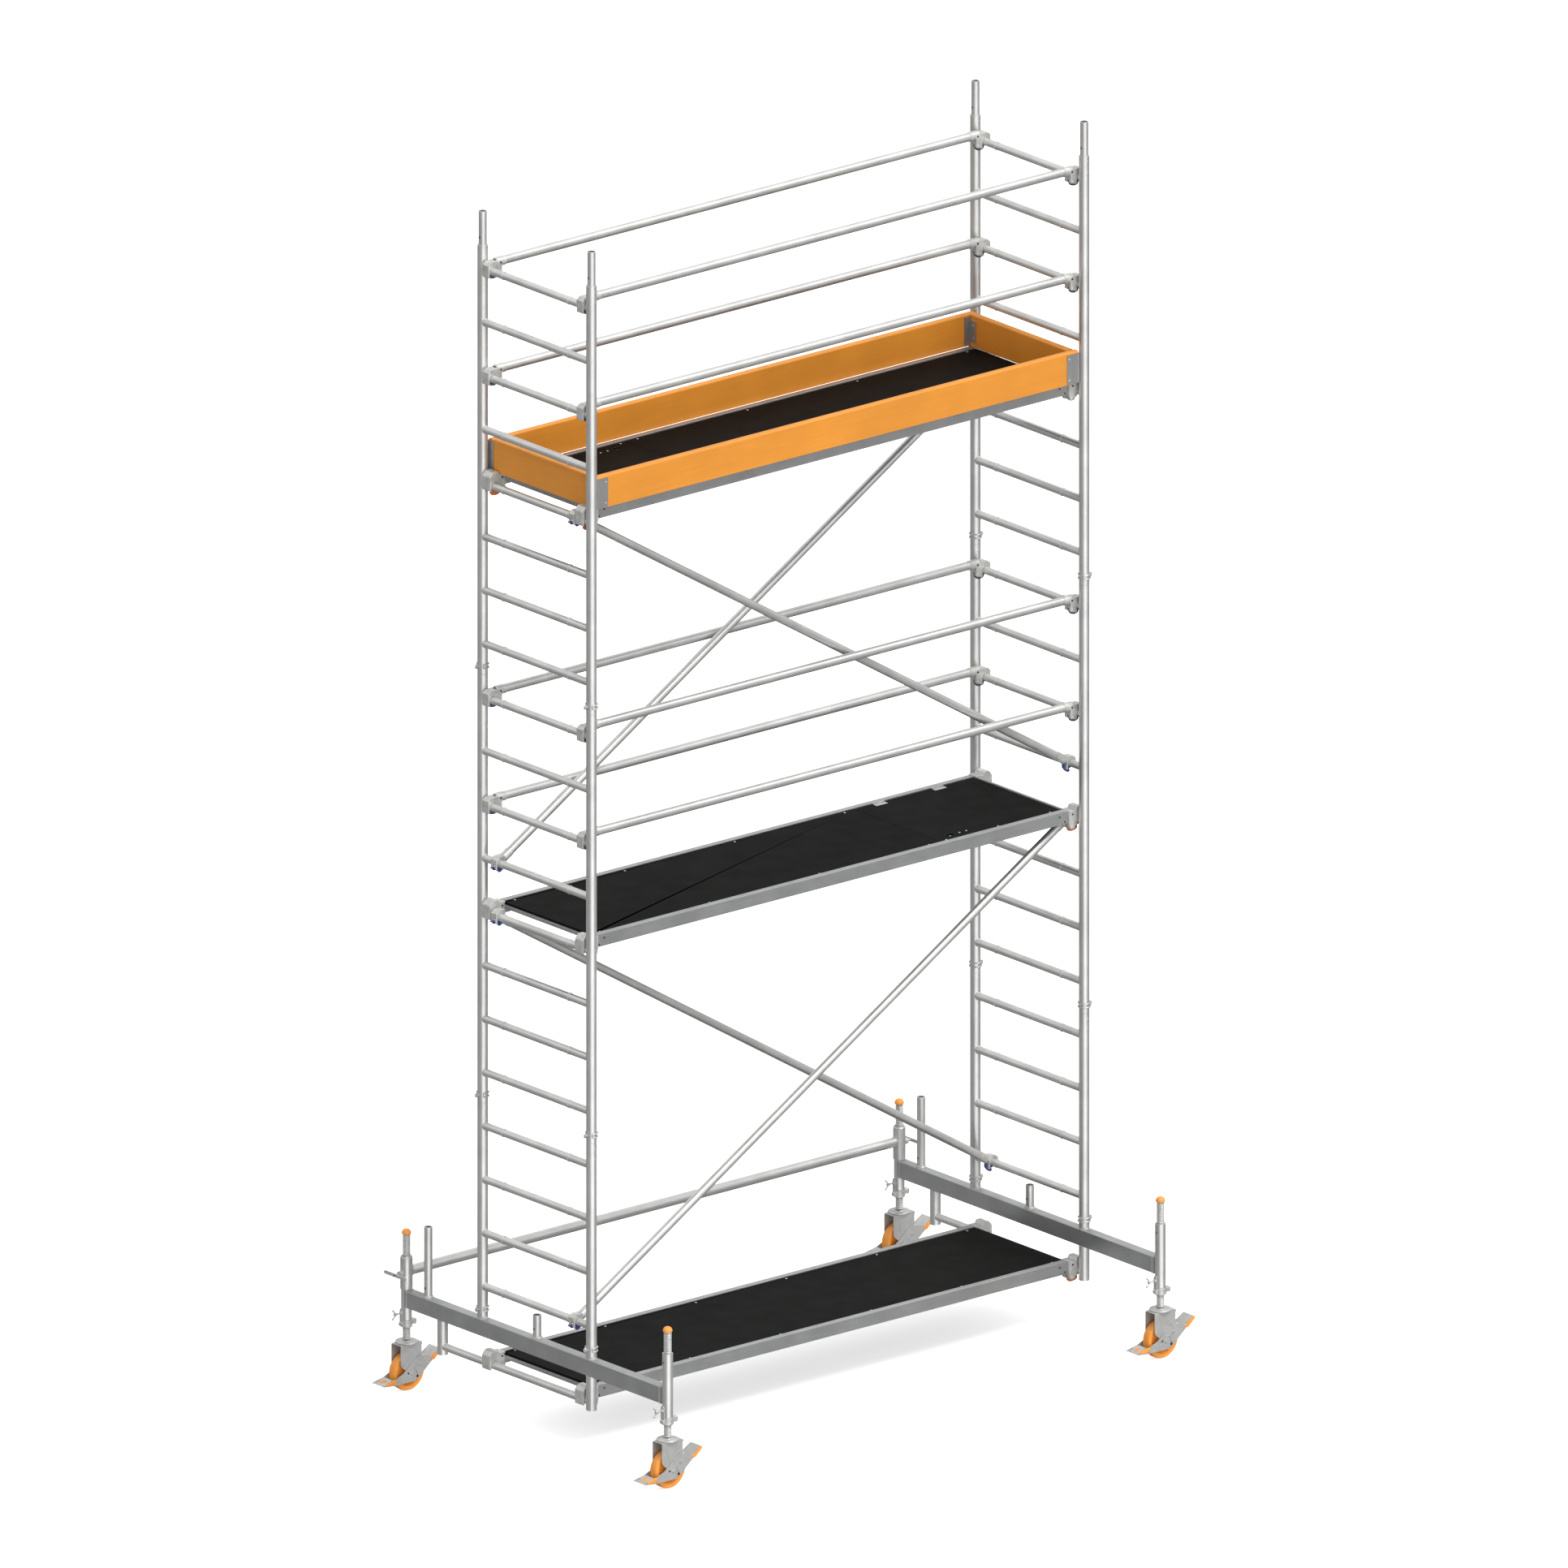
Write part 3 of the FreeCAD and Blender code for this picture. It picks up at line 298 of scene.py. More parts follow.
    @classmethod
    def turned(cls, profile: Outline, sides: int = 32, closed: bool = False) -> "Part":
        """Shape turned about Z: a ring extruded and resized from step to step.

        Args:
            profile: (radius, height) steps.
            sides: facets round it.
            closed: whether the last step runs back to the first, as on a ring.

        Returns:
            The turned shape.
        """
        pick([])
        radius, height = profile[0]
        bpy.ops.mesh.primitive_circle_add(vertices=sides, radius=radius, location=(0, 0, height),
                                          fill_type="NOTHING")
        part = cls.fresh()
        with editing(part.obj, "EDGE"):
            bpy.ops.mesh.select_all(action="SELECT")
            for after_radius, after_height in profile[1:]:
                bpy.ops.mesh.extrude_region_move(
                    TRANSFORM_OT_translate={"value": (0, 0, after_height - height)})
                grown = after_radius / radius
                bpy.ops.transform.resize(value=(grown, grown, 1),
                                         center_override=(0, 0, after_height))
                radius, height = after_radius, after_height
            if closed:
                bpy.ops.mesh.select_all(action="DESELECT")
                bpy.ops.mesh.select_non_manifold()
                bpy.ops.mesh.bridge_edge_loops()
            else:
                bpy.ops.mesh.select_all(action="SELECT")
                bpy.ops.mesh.fill_holes(sides=0)
        return part.outward()

    @classmethod
    def wire(cls, points: Sequence[Sequence[float]], radius: float, sides: int = 3,
             closed: bool = False, smooth: bool = False) -> "Part":
        """Bent round wire through points, made as a bevelled curve and turned into a mesh.

        Args:
            points: the points it runs through, or near where it is smooth.
            radius: its radius.
            sides: curve resolution of its section.
            closed: whether it joins up.
            smooth: whether it is a smooth curve.

        Returns:
            The wire.
        """
        curve = bpy.data.curves.new("wire", "CURVE")
        curve.dimensions = "3D"
        curve.bevel_depth = radius
        curve.bevel_resolution = sides
        curve.use_fill_caps = not closed
        curve.resolution_u = 6
        line = curve.splines.new("NURBS" if smooth else "POLY")
        line.points.add(len(points) - 1)
        for knot, point in zip(line.points, points):
            knot.co = (*point, 1.0)
        line.use_cyclic_u = closed
        if smooth:
            line.order_u = 3
            line.use_endpoint_u = not closed
        obj = bpy.data.objects.new("wire", curve)
        bpy.context.scene.collection.objects.link(obj)
        pick([obj])
        bpy.ops.object.convert(target="MESH")
        part = cls(bpy.context.view_layer.objects.active)
        return part.outward()

    @classmethod
    def ball(cls, radius: float, place: Sequence[float], sides: int = 16) -> "Part":
        """Ball at a place."""
        pick([])
        bpy.ops.mesh.primitive_uv_sphere_add(segments=sides, ring_count=sides // 2, radius=radius,
                                             location=place)
        return cls.fresh()

    def outward(self) -> "Part":
        """Merge doubles and turn every face outwards."""
        with editing(self.obj, "VERT"):
            bpy.ops.mesh.select_all(action="SELECT")
            bpy.ops.mesh.remove_doubles(threshold=NEAR / 10)
            bpy.ops.mesh.normals_make_consistent(inside=False)
        return self

    def rounded(self, amount: float, segments: int = 2) -> "Part":
        """Round the edges sharper than 30 degrees with a bevel modifier, applied."""
        pick([self.obj])
        bpy.ops.object.modifier_add(type="BEVEL")
        bevel = self.obj.modifiers[-1]
        bevel.width = amount
        bevel.segments = segments
        bevel.limit_method = "ANGLE"
        bevel.angle_limit = math.radians(30.0)
        bpy.ops.object.modifier_apply(modifier=bevel.name)
        return self

    def cut(self, cutter: "Part") -> "Part":
        """Take a cutter's shape out of this one, and the cutter off the bench."""
        pick([self.obj])
        bpy.ops.object.modifier_add(type="BOOLEAN")
        modifier = self.obj.modifiers[-1]
        modifier.operation = "DIFFERENCE"
        modifier.solver = "EXACT"
        modifier.object = cutter.obj
        bpy.ops.object.modifier_apply(modifier=modifier.name)
        cutter.scrap()
        return self

    def drilled(self, hole: float, rise: float) -> "Part":
        """Drill an upright tube through along X, between two loops cut just clear of the hole."""
        for height in (rise - 2 * hole, rise + 2 * hole):
            with editing(self.obj):
                bpy.ops.mesh.select_all(action="SELECT")
                bpy.ops.mesh.bisect(plane_co=(0, 0, height), plane_no=(0, 0, 1))
        drill = Part.rod(hole, -0.05, 0.05, sides=16)
        return self.cut(drill.moved(quarter(Axis.Y), shift(z=rise)))

    def moved(self, *matrices: Matrix) -> "Part":
        """Move the mesh by matrices, the first of them first."""
        for matrix in matrices:
            self.obj.data.transform(matrix)
            if matrix.determinant() < 0:
                self.obj.data.flip_normals()
        return self

    def copy(self) -> "Part":
        """Second part with its own mesh."""
        twin = self.obj.copy()
        twin.data = self.obj.data.copy()
        bpy.context.scene.collection.objects.link(twin)
        return Part(twin)

    def scrap(self) -> None:
        """Take the part off the bench."""
        bpy.data.objects.remove(self.obj)

    def dress(self, material: Material) -> "Part":
        """Give the whole part one material."""
        self.obj.data.materials.clear()
        self.obj.data.materials.append(material)
        return self


def joined(parts: Sequence[Part]) -> Part:
    """One part from several, each keeping its material."""
    objects = [part.obj for part in parts]
    if len(objects) > 1:
        pick(objects)
        bpy.ops.object.join()
    return Part(objects[0])


def copies(part: Part, matrices: Iterable[Matrix]) -> list[Part]:
    """A copy of a part for each matrix; the part itself leaves the bench."""
    made = [part.copy().moved(matrix) for matrix in matrices]
    part.scrap()
    return made


def deliver(name: str, parts: Sequence[Part], node: str, body: str = TOWER) -> None:
    """Join parts into one finished piece and hang it on the frame.

    Args:
        name: the piece's name.
        parts: what it is made of.
        node: the CAD node it stands for.
        body: the body it rides on.
    """
    obj = joined(parts).obj
    obj.name = name
    obj.data.name = name
    pick([obj])
    bpy.ops.object.shade_smooth_by_angle(angle=math.radians(38.0))
    bpy.ops.object.modifier_add(type="WEIGHTED_NORMAL")
    obj.modifiers[-1].keep_sharp = True
    bpy.ops.object.modifier_apply(modifier=obj.modifiers[-1].name)
    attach(obj, body)
    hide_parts(node)
    log.info("%s: %d faces on %s", name, len(obj.data.polygons), body)


# --- Finishes ---
def linear(red: int, green: int, blue: int) -> tuple[float, float, float, float]:
    """Scene-linear colour from an sRGB one of 0 to 255."""
    values = [c / 255 for c in (red, green, blue)]
    low = [c / 12.92 if c <= 0.04045 else ((c + 0.055) / 1.055) ** 2.4 for c in values]
    return (low[0], low[1], low[2], 1.0)


class Recipe:
    """Node tree of one material, round its Principled shader."""

    def __init__(self, name: str, roughness: float, metallic: float = 0.0) -> None:
        """Start a material with a plain shader."""
        self.material = bpy.data.materials.new(name)
        self.material.use_nodes = True
        self.nodes = self.material.node_tree.nodes
        self.links = self.material.node_tree.links
        self.shader = self.nodes["Principled BSDF"]
        self.shader.inputs["Roughness"].default_value = roughness
        self.shader.inputs["Metallic"].default_value = metallic
        self.place = self.nodes.new("ShaderNodeTexCoord").outputs["Object"]

    def node(self, kind: str, settings: dict[str, object], output: str) -> Socket:
        """One output of a new node.

        Args:
            kind: the node's type, without its ShaderNode prefix.
            settings: a value, or a socket to link, for each input that isn't left as it is.
            output: which output to return.

        Returns:
            The output's socket.
        """
        node = self.nodes.new("ShaderNode" + kind)
        for name, value in settings.items():
            if isinstance(value, Socket):
                self.links.new(value, node.inputs[name])
            else:
                node.inputs[name].default_value = value
        return node.outputs[output]

    def stretched(self, scale: Sequence[float]) -> Socket:
        """Object coordinates multiplied axis by axis."""
        return self.node("Mapping", {"Scale": scale, "Vector": self.place}, "Vector")

    def noise(self, scale: float, detail: float = 3.0,
              vector: Socket | None = None) -> Socket:
        """Noise of a scale per metre."""
        return self.node("TexNoise", {"Scale": scale, "Detail": detail,
                                      "Vector": vector or self.place}, "Fac")

    def cells(self, scale: float) -> Socket:
        """Cells of a scale per metre, each of a colour of its own."""
        return self.node("TexVoronoi", {"Scale": scale, "Vector": self.place}, "Color")

    def ramp(self, fac: Socket, low: Sequence[float], high: Sequence[float],
             start: float = 0.35, stop: float = 0.65) -> Socket:
        """Colour ramp between two colours."""
        node = self.nodes.new("ShaderNodeValToRGB")
        node.color_ramp.elements[0].position = start
        node.color_ramp.elements[1].position = stop
        node.color_ramp.elements[0].color = low
        node.color_ramp.elements[1].color = high
        self.links.new(fac, node.inputs["Fac"])
        return node.outputs["Color"]

    def span(self, fac: Socket, low: float, high: float) -> Socket:
        """Value rescaled from 0.3..0.7 to low..high."""
        return self.node("MapRange", {"From Min": 0.3, "From Max": 0.7, "To Min": low,
                                      "To Max": high, "Value": fac}, "Result")

    def mixed(self, kind: str, fac: float, one: Socket,
              other: Socket) -> Socket:
        """Two colours mixed."""
        node = self.nodes.new("ShaderNodeMix")
        node.data_type = "RGBA"
        node.blend_type = kind
        node.inputs["Factor"].default_value = fac
        self.links.new(one, node.inputs["A"])
        self.links.new(other, node.inputs["B"])
        return node.outputs["Result"]

    def colour(self, socket: Socket) -> "Recipe":
        """Link the base colour."""
        self.links.new(socket, self.shader.inputs["Base Color"])
        return self

    def rough(self, socket: Socket) -> "Recipe":
        """Link the roughness."""
        self.links.new(socket, self.shader.inputs["Roughness"])
        return self

    def bumps(self, height: Socket, strength: float, distance: float) -> "Recipe":
        """Bump the surface by a height."""
        bump = self.node("Bump", {"Strength": strength, "Distance": distance, "Height": height},
                         "Normal")
        self.links.new(bump, self.shader.inputs["Normal"])
        return self


def shades(colour: Sequence[int], spread: float) -> tuple[Sequence[float], Sequence[float]]:
    """A darker and a lighter linear colour either side of an sRGB one."""
    middle = linear(*colour)
    dark = tuple(c * (1 - spread) for c in middle[:3]) + (1.0,)
    light = tuple(min(1.0, c * (1 + spread)) for c in middle[:3]) + (1.0,)
    return dark, light


@dataclass(frozen=True)
class Drawn:
    """Drawn or extruded aluminium: die lines along it, a cloudy oxide bloom and handling marks."""

    name: str
    along: Axis
    colour: tuple[int, int, int] = (213, 213, 211)
    metallic: float = 0.82
    roughness: float = 0.38

    def make(self) -> Material:
        """Build the material."""
        recipe = Recipe(self.name, self.roughness, self.metallic)
        grain = [900.0, 900.0, 900.0]
        grain[self.along.value] = 5.0
        lines = recipe.noise(1.0, 4.0, recipe.stretched(grain))
        bloom = recipe.noise(7.0, 5.0)
        marks = recipe.noise(60.0, 6.0)
        dark, light = shades(self.colour, 0.07)
        tone = recipe.mixed("MULTIPLY", 0.55, recipe.ramp(bloom, dark, light),
                            recipe.ramp(lines, (0.86, 0.86, 0.86, 1), (1, 1, 1, 1)))
        recipe.colour(tone)
        rough = recipe.mixed("MIX", 0.4, recipe.span(lines, self.roughness - 0.06,
                                                     self.roughness + 0.08),
                             recipe.span(marks, self.roughness - 0.08, self.roughness + 0.12))
        return recipe.rough(rough).bumps(lines, 0.12, 0.0002).material


@dataclass(frozen=True)
class Cast:
    """Pressure-cast aluminium: fine grain, soft mottling, lighter on convex edges where it rubs,
    partly a painted highlight, and painted shade darkening its creases.
    """

    name: str
    colour: tuple[int, int, int] = (202, 202, 199)
    metallic: float = 0.6
    roughness: float = 0.42
    grain: float = 700.0

    def make(self) -> Material:
        """Build the material."""
        recipe = Recipe(self.name, self.roughness, self.metallic)
        grain = recipe.noise(self.grain, 4.0)
        cloud = recipe.noise(38.0, 4.0)
        dark, light = shades(self.colour, 0.1)
        skin = recipe.ramp(cloud, dark, light)
        # Pointiness mask: convex edges lighter as rubbed wear and painted edge highlight, creases
        # and hollows darker as painted shade.
        edge_wear_and_crease_shade = recipe.nodes.new("ShaderNodeNewGeometry").outputs["Pointiness"]
        edges = recipe.ramp(edge_wear_and_crease_shade, (0.9, 0.9, 0.9, 1), (1, 1, 1, 1), 0.47, 0.53)
        recipe.colour(recipe.mixed("MULTIPLY", 1.0, skin, edges))
        recipe.rough(recipe.span(cloud, self.roughness - 0.06, self.roughness + 0.1))
        return recipe.bumps(grain, 0.25, 0.0003).material


@dataclass(frozen=True)
class Galvanised:
    """Zinc-dipped or plated steel: spangle cells and a dull bloom."""

    name: str
    colour: tuple[int, int, int] = (198, 198, 196)
    spangle: float = 160.0
    contrast: float = 0.12
    roughness: float = 0.42

    def make(self) -> Material:
        """Build the material."""
        recipe = Recipe(self.name, self.roughness, 0.5)
        warped = recipe.cells(self.spangle)
        dark, light = shades(self.colour, self.contrast)
        patches = recipe.ramp(warped, dark, light, 0.1, 0.9)
        bloom = recipe.ramp(recipe.noise(24.0, 5.0), (0.88, 0.88, 0.88, 1), (1, 1, 1, 1))
        recipe.colour(recipe.mixed("MULTIPLY", 1.0, patches, bloom))
        recipe.rough(recipe.span(recipe.noise(90.0, 4.0), self.roughness - 0.08,
                                 self.roughness + 0.1))
        return recipe.bumps(recipe.noise(420.0, 3.0), 0.15, 0.0003).material


@dataclass(frozen=True)
class DeckPly:
    """Film-faced plywood: near-black brown film with a pressed mesh, scuffs and dust."""

    name: str = "deck_film"
    colour: tuple[int, int, int] = (16, 15, 14)
    mesh_pitch: float = 0.0042

    def make(self) -> Material:
        """Build the material."""
        recipe = Recipe(self.name, 0.58)
        recipe.shader.inputs["Specular IOR Level"].default_value = 0.04
        turned = recipe.node("Mapping", {"Rotation": (0.0, 0.0, math.radians(45)),
                                         "Scale": [1 / self.mesh_pitch] * 3,
                                         "Vector": recipe.place}, "Vector")
        ridges = recipe.node("TexBrick", {"Scale": 1.0, "Mortar Size": 0.12, "Mortar Smooth": 0.6,
                                          "Brick Width": 1.0, "Row Height": 1.0,
                                          "Vector": turned}, "Fac")
        ridges.node.offset = 0.0
        dark, light = shades(self.colour, 0.12)
        film = recipe.ramp(recipe.noise(3.0, 6.0), dark, light, 0.3, 0.7)
        scuffs = recipe.ramp(recipe.noise(1.0, 8.0, recipe.stretched((7, 26, 26))),
                             (1, 1, 1, 1), (1.2, 1.19, 1.17, 1), 0.55, 0.75)
        recipe.colour(recipe.mixed("MULTIPLY", 1.0, film, scuffs))
        recipe.rough(recipe.span(recipe.noise(9.0, 6.0), 0.54, 0.62))
        return recipe.bumps(ridges, 0.35, 0.0004).material


@dataclass(frozen=True)
class PaintedBoard:
    """Lacquered timber board: even colour over a faint long grain."""

    name: str
    along: Axis
    colour: tuple[int, int, int] = (221, 143, 48)

    def make(self) -> Material:
        """Build the material."""
        recipe = Recipe(self.name, 0.44)
        scale = [130.0, 130.0, 130.0]
        scale[self.along.value] = 4.0
        grain = recipe.noise(1.0, 6.0, recipe.stretched(scale))
        dark, light = shades(self.colour, 0.05)
        cloud = recipe.ramp(recipe.noise(4.0, 4.0), dark, light)
        veins = recipe.ramp(grain, (0.93, 0.92, 0.9, 1), (1, 1, 1, 1))
        recipe.colour(recipe.mixed("MULTIPLY", 0.8, cloud, veins))
        recipe.rough(recipe.span(grain, 0.38, 0.52))
        return recipe.bumps(grain, 0.12, 0.0003).material


@dataclass(frozen=True)
class Moulded:
    """Moulded plastic: fine spark-eroded texture, slight flow marks."""

    name: str
    colour: tuple[int, int, int]
    roughness: float = 0.42

    def make(self) -> Material:
        """Build the material."""
        recipe = Recipe(self.name, self.roughness)
        dark, light = shades(self.colour, 0.06)
        flow = recipe.noise(45.0, 5.0)
        recipe.colour(recipe.ramp(flow, dark, light))
        recipe.rough(recipe.span(recipe.noise(260.0, 3.0), self.roughness - 0.07,
                                 self.roughness + 0.07))
        return recipe.bumps(recipe.noise(1400.0, 2.0), 0.2, 0.0002).material


@dataclass(frozen=True)
class Shadow:
    """Painted shade standing in for the dark inside of a small hole, with a little grime."""

    name: str = "hole_grime"

    def make(self) -> Material:
        """Build the material."""
        recipe = Recipe(self.name, 0.85)
        dark, light = shades((24, 23, 22), 0.3)
        return recipe.colour(recipe.ramp(recipe.noise(220.0, 3.0), dark, light)).material


@dataclass(frozen=True)
class StudioFloor:
    """Plain pale floor with the slightest mottling."""

    name: str = "studio_floor"

    def make(self) -> Material:
        """Build the material."""
        recipe = Recipe(self.name, 0.9)
        recipe.shader.inputs["Specular IOR Level"].default_value = 0.0
        recipe.shader.inputs["Emission Color"].default_value = (1.0, 1.0, 1.0, 1.0)
        recipe.shader.inputs["Emission Strength"].default_value = 0.55
        return recipe.colour(recipe.ramp(recipe.noise(1.2, 2.0), (0.95, 0.95, 0.95, 1),
                                         (0.97, 0.97, 0.97, 1))).material


class Paints:
    """Every finish used on the tower, built once."""

    def __init__(self) -> None:
        """Build the materials."""
        self.tube = {axis: Drawn("drawn_tube_" + axis.name.lower(), axis).make() for axis in Axis}
        self.profile = {axis: Drawn("extruded_profile_" + axis.name.lower(), axis,
                                    (178, 179, 179), 0.8, 0.38).make() for axis in Axis}
        self.cast = Cast("cast_aluminium").make()
        self.weld = Cast("weld_bead", (186, 186, 182), 0.5, 0.38, 300.0).make()
        self.zinc = Galvanised("zinc_plate", (196, 196, 194), 420.0, 0.05, 0.38).make()
        self.dipped = Galvanised("hot_dipped_steel").make()
        self.film = DeckPly().make()
        self.board = {axis: PaintedBoard("toe_board_lacquer_" + axis.name.lower(), axis).make()
                      for axis in (Axis.X, Axis.Y)}
        self.orange = Moulded("orange_nylon", (236, 152, 62)).make()
        self.rust_orange = Moulded("orange_lock", (196, 104, 40)).make()
        self.blue = Moulded("blue_nylon", (44, 66, 132)).make()
        self.slate = Moulded("slate_nylon", (78, 84, 98)).make()
        # Painted shade for small holes and recesses, laid on dark discs and rings.
        self.hole = Shadow().make()
        self.rivet = Cast("blind_rivet", (38, 38, 37), 0.2, 0.5, 400.0).make()
        self.bright = Cast("bright_rivet", (214, 214, 210), 0.4, 0.35, 400.0).make()


# --- Studio ---
@dataclass
class Studio:
    """Camera, lights and floor."""

    azimuth: float = -40.0
    elevation: float = 18.33
    frame_width: float = 6.947
    target_height: float = 2.7496
    across: float = 0.0025
    distance: float = 30.0
    floor_size: float = 90.0
    # Brightness of the surroundings by height, from straight below (0) to straight above (1).
    sky: tuple[tuple[float, float], ...] = ((0.0, 0.17), (0.46, 0.36), (0.56, 0.46), (0.72, 1.0),
                                            (1.0, 1.05))

    def camera(self, middle_y: float) -> None:
        """Parallel-projection camera on the tower's front left corner."""
        turn, tilt = math.radians(self.azimuth), math.radians(self.elevation)
        back = Vector((math.sin(turn) * math.cos(tilt), -math.cos(turn) * math.cos(tilt),
                       math.sin(tilt)))
        right = Vector((math.cos(turn), math.sin(turn), 0.0))
        data = bpy.data.cameras.new("camera")
        data.type = "ORTHO"
        data.ortho_scale = self.frame_width
        data.clip_end = 120.0
        data.dof.use_dof = False
        camera = bpy.data.objects.new("camera", data)
        target = Vector((0.0, middle_y, self.target_height)) + right * self.across
        camera.location = target + back * self.distance
        camera.rotation_euler = back.to_track_quat("Z", "Y").to_euler()
        bpy.context.scene.collection.objects.link(camera)
        bpy.context.scene.camera = camera

    def sun(self, name: str, towards: Sequence[float], strength: float, spread: float) -> None:
        """Soft, even light from far off.

        Args:
            name: the light's name.
            towards: direction from the tower to the light.
            strength: its strength.
            spread: angle it covers, in degrees.
        """
        data = bpy.data.lights.new(name, "SUN")
        data.energy = strength
        data.angle = math.radians(spread)
        light = bpy.data.objects.new(name, data)
        light.rotation_euler = Vector(towards).to_track_quat("Z", "Y").to_euler()
        bpy.context.scene.collection.objects.link(light)

    def lights(self) -> None:
        """Pale surroundings that darken downwards, a key light high in front and a low fill."""
        world = bpy.data.worlds.new("studio_surroundings")
        world.use_nodes = True
        nodes, links = world.node_tree.nodes, world.node_tree.links
        heading = nodes.new("ShaderNodeTexCoord").outputs["Generated"]
        split = nodes.new("ShaderNodeSeparateXYZ")
        links.new(heading, split.inputs["Vector"])
        height = nodes.new("ShaderNodeMapRange")
        height.inputs["From Min"].default_value = -1.0
        links.new(split.outputs["Z"], height.inputs["Value"])
        shade = nodes.new("ShaderNodeValToRGB")
        links.new(height.outputs["Result"], shade.inputs["Fac"])
        ramp = shade.color_ramp
        for number, (place, grey) in enumerate(self.sky):
            if number in (0, len(self.sky) - 1):
                step = ramp.elements[0 if number == 0 else -1]
            else:
                step = ramp.elements.new(place)
            step.color = (grey, grey, grey, 1.0)
        background = nodes["Background"]
        links.new(shade.outputs["Color"], background.inputs["Color"])
        background.inputs["Strength"].default_value = 1.0
        bpy.context.scene.world = world
        bpy.context.scene.view_settings.view_transform = "Standard"
        self.sun("key", (0.22, -0.50, 0.85), 1.7, 20.0)
        self.sun("fill", (-0.30, -1.0, -0.12), 1.5, 70.0)

    def floor(self) -> None:
        """Large flat sheet just under the wheels."""
        pick([])
        bpy.ops.mesh.primitive_plane_add(size=self.floor_size, location=(0, 0, -0.0005))
        sheet = bpy.context.view_layer.objects.active
        sheet.name = "floor"
        sheet.data.materials.append(StudioFloor().make())
        sheet.visible_diffuse = False
        sheet.visible_glossy = False
        sheet.visible_shadow = False


# --- Where things are, read from the frame ---
@dataclass(frozen=True)
class Layout:
    """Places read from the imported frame."""

    stile_x: float
    stile_y: float
    middle_y: float
    leg_y: float
    base: float
    deck_tops: dict[str, float]
    tube: float = 0.02415
    bore: float = 0.01915
    rung: float = 0.0175
    pitch: float = 0.25
    first_rung: float = 0.141
    deck_rise: float = 0.053

    @classmethod
    def read(cls) -> "Layout":
        """Take the tower's places from its nodes' boxes."""
        low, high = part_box("right_upper_frame")
        wheel_low, wheel_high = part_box("right_rear_wheel")
        middle = (low.y + high.y) / 2
        decks = {name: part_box(name + "_deck_frame")[1].z for name in ("bottom", "middle", "top")}
        return cls(stile_x=(low.x + high.x) / 2, stile_y=(high.y - low.y) / 2 - cls.tube,
                   middle_y=middle, leg_y=(wheel_low.y + wheel_high.y) / 2 - middle,
                   base=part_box("left_lower_frame")[0].z, deck_tops=decks)

    def rung_z(self, number: int) -> float:
        """Height of a rung's axis, the lowest rung being 0."""
        return self.base + self.first_rung + number * self.pitch

    def across(self, offset: float) -> float:
        """Y of a place given from the tower's middle plane."""
        return self.middle_y + offset


# --- Frames ---
def weld_ring(radius: float, height: float, bead: float = 0.0022) -> Part:
    """Weld bead round an upright tube, a little lumpy."""
    profile = [(radius - 0.0005, height - bead), (radius + bead * 0.7, height - bead * 0.7),
               (radius + bead, height), (radius + bead * 0.7, height + bead * 0.7),
               (radius - 0.0005, height + bead)]
    return Part.turned(profile, sides=24, closed=True)


@dataclass
class Spigot:
    """Joint spigot standing on a stile or a beam."""

    radius: float = 0.0188
    bore: float = 0.0153
    hole: float = 0.0055
    hole_rise: float = 0.037
    chamfer: float = 0.002
    root: float = 0.02

    def make(self, reach: float, paints: Paints) -> Part:
        """Spigot whose shoulder is at height 0.

        Args:
            reach: how far it stands up.
            paints: the finishes.

        Returns:
            The spigot.
        """
        tube = Part.tube(self.radius, self.bore, -self.root, reach, rim=self.chamfer)
        return tube.drilled(self.hole, self.hole_rise).dress(paints.tube[Axis.Z])


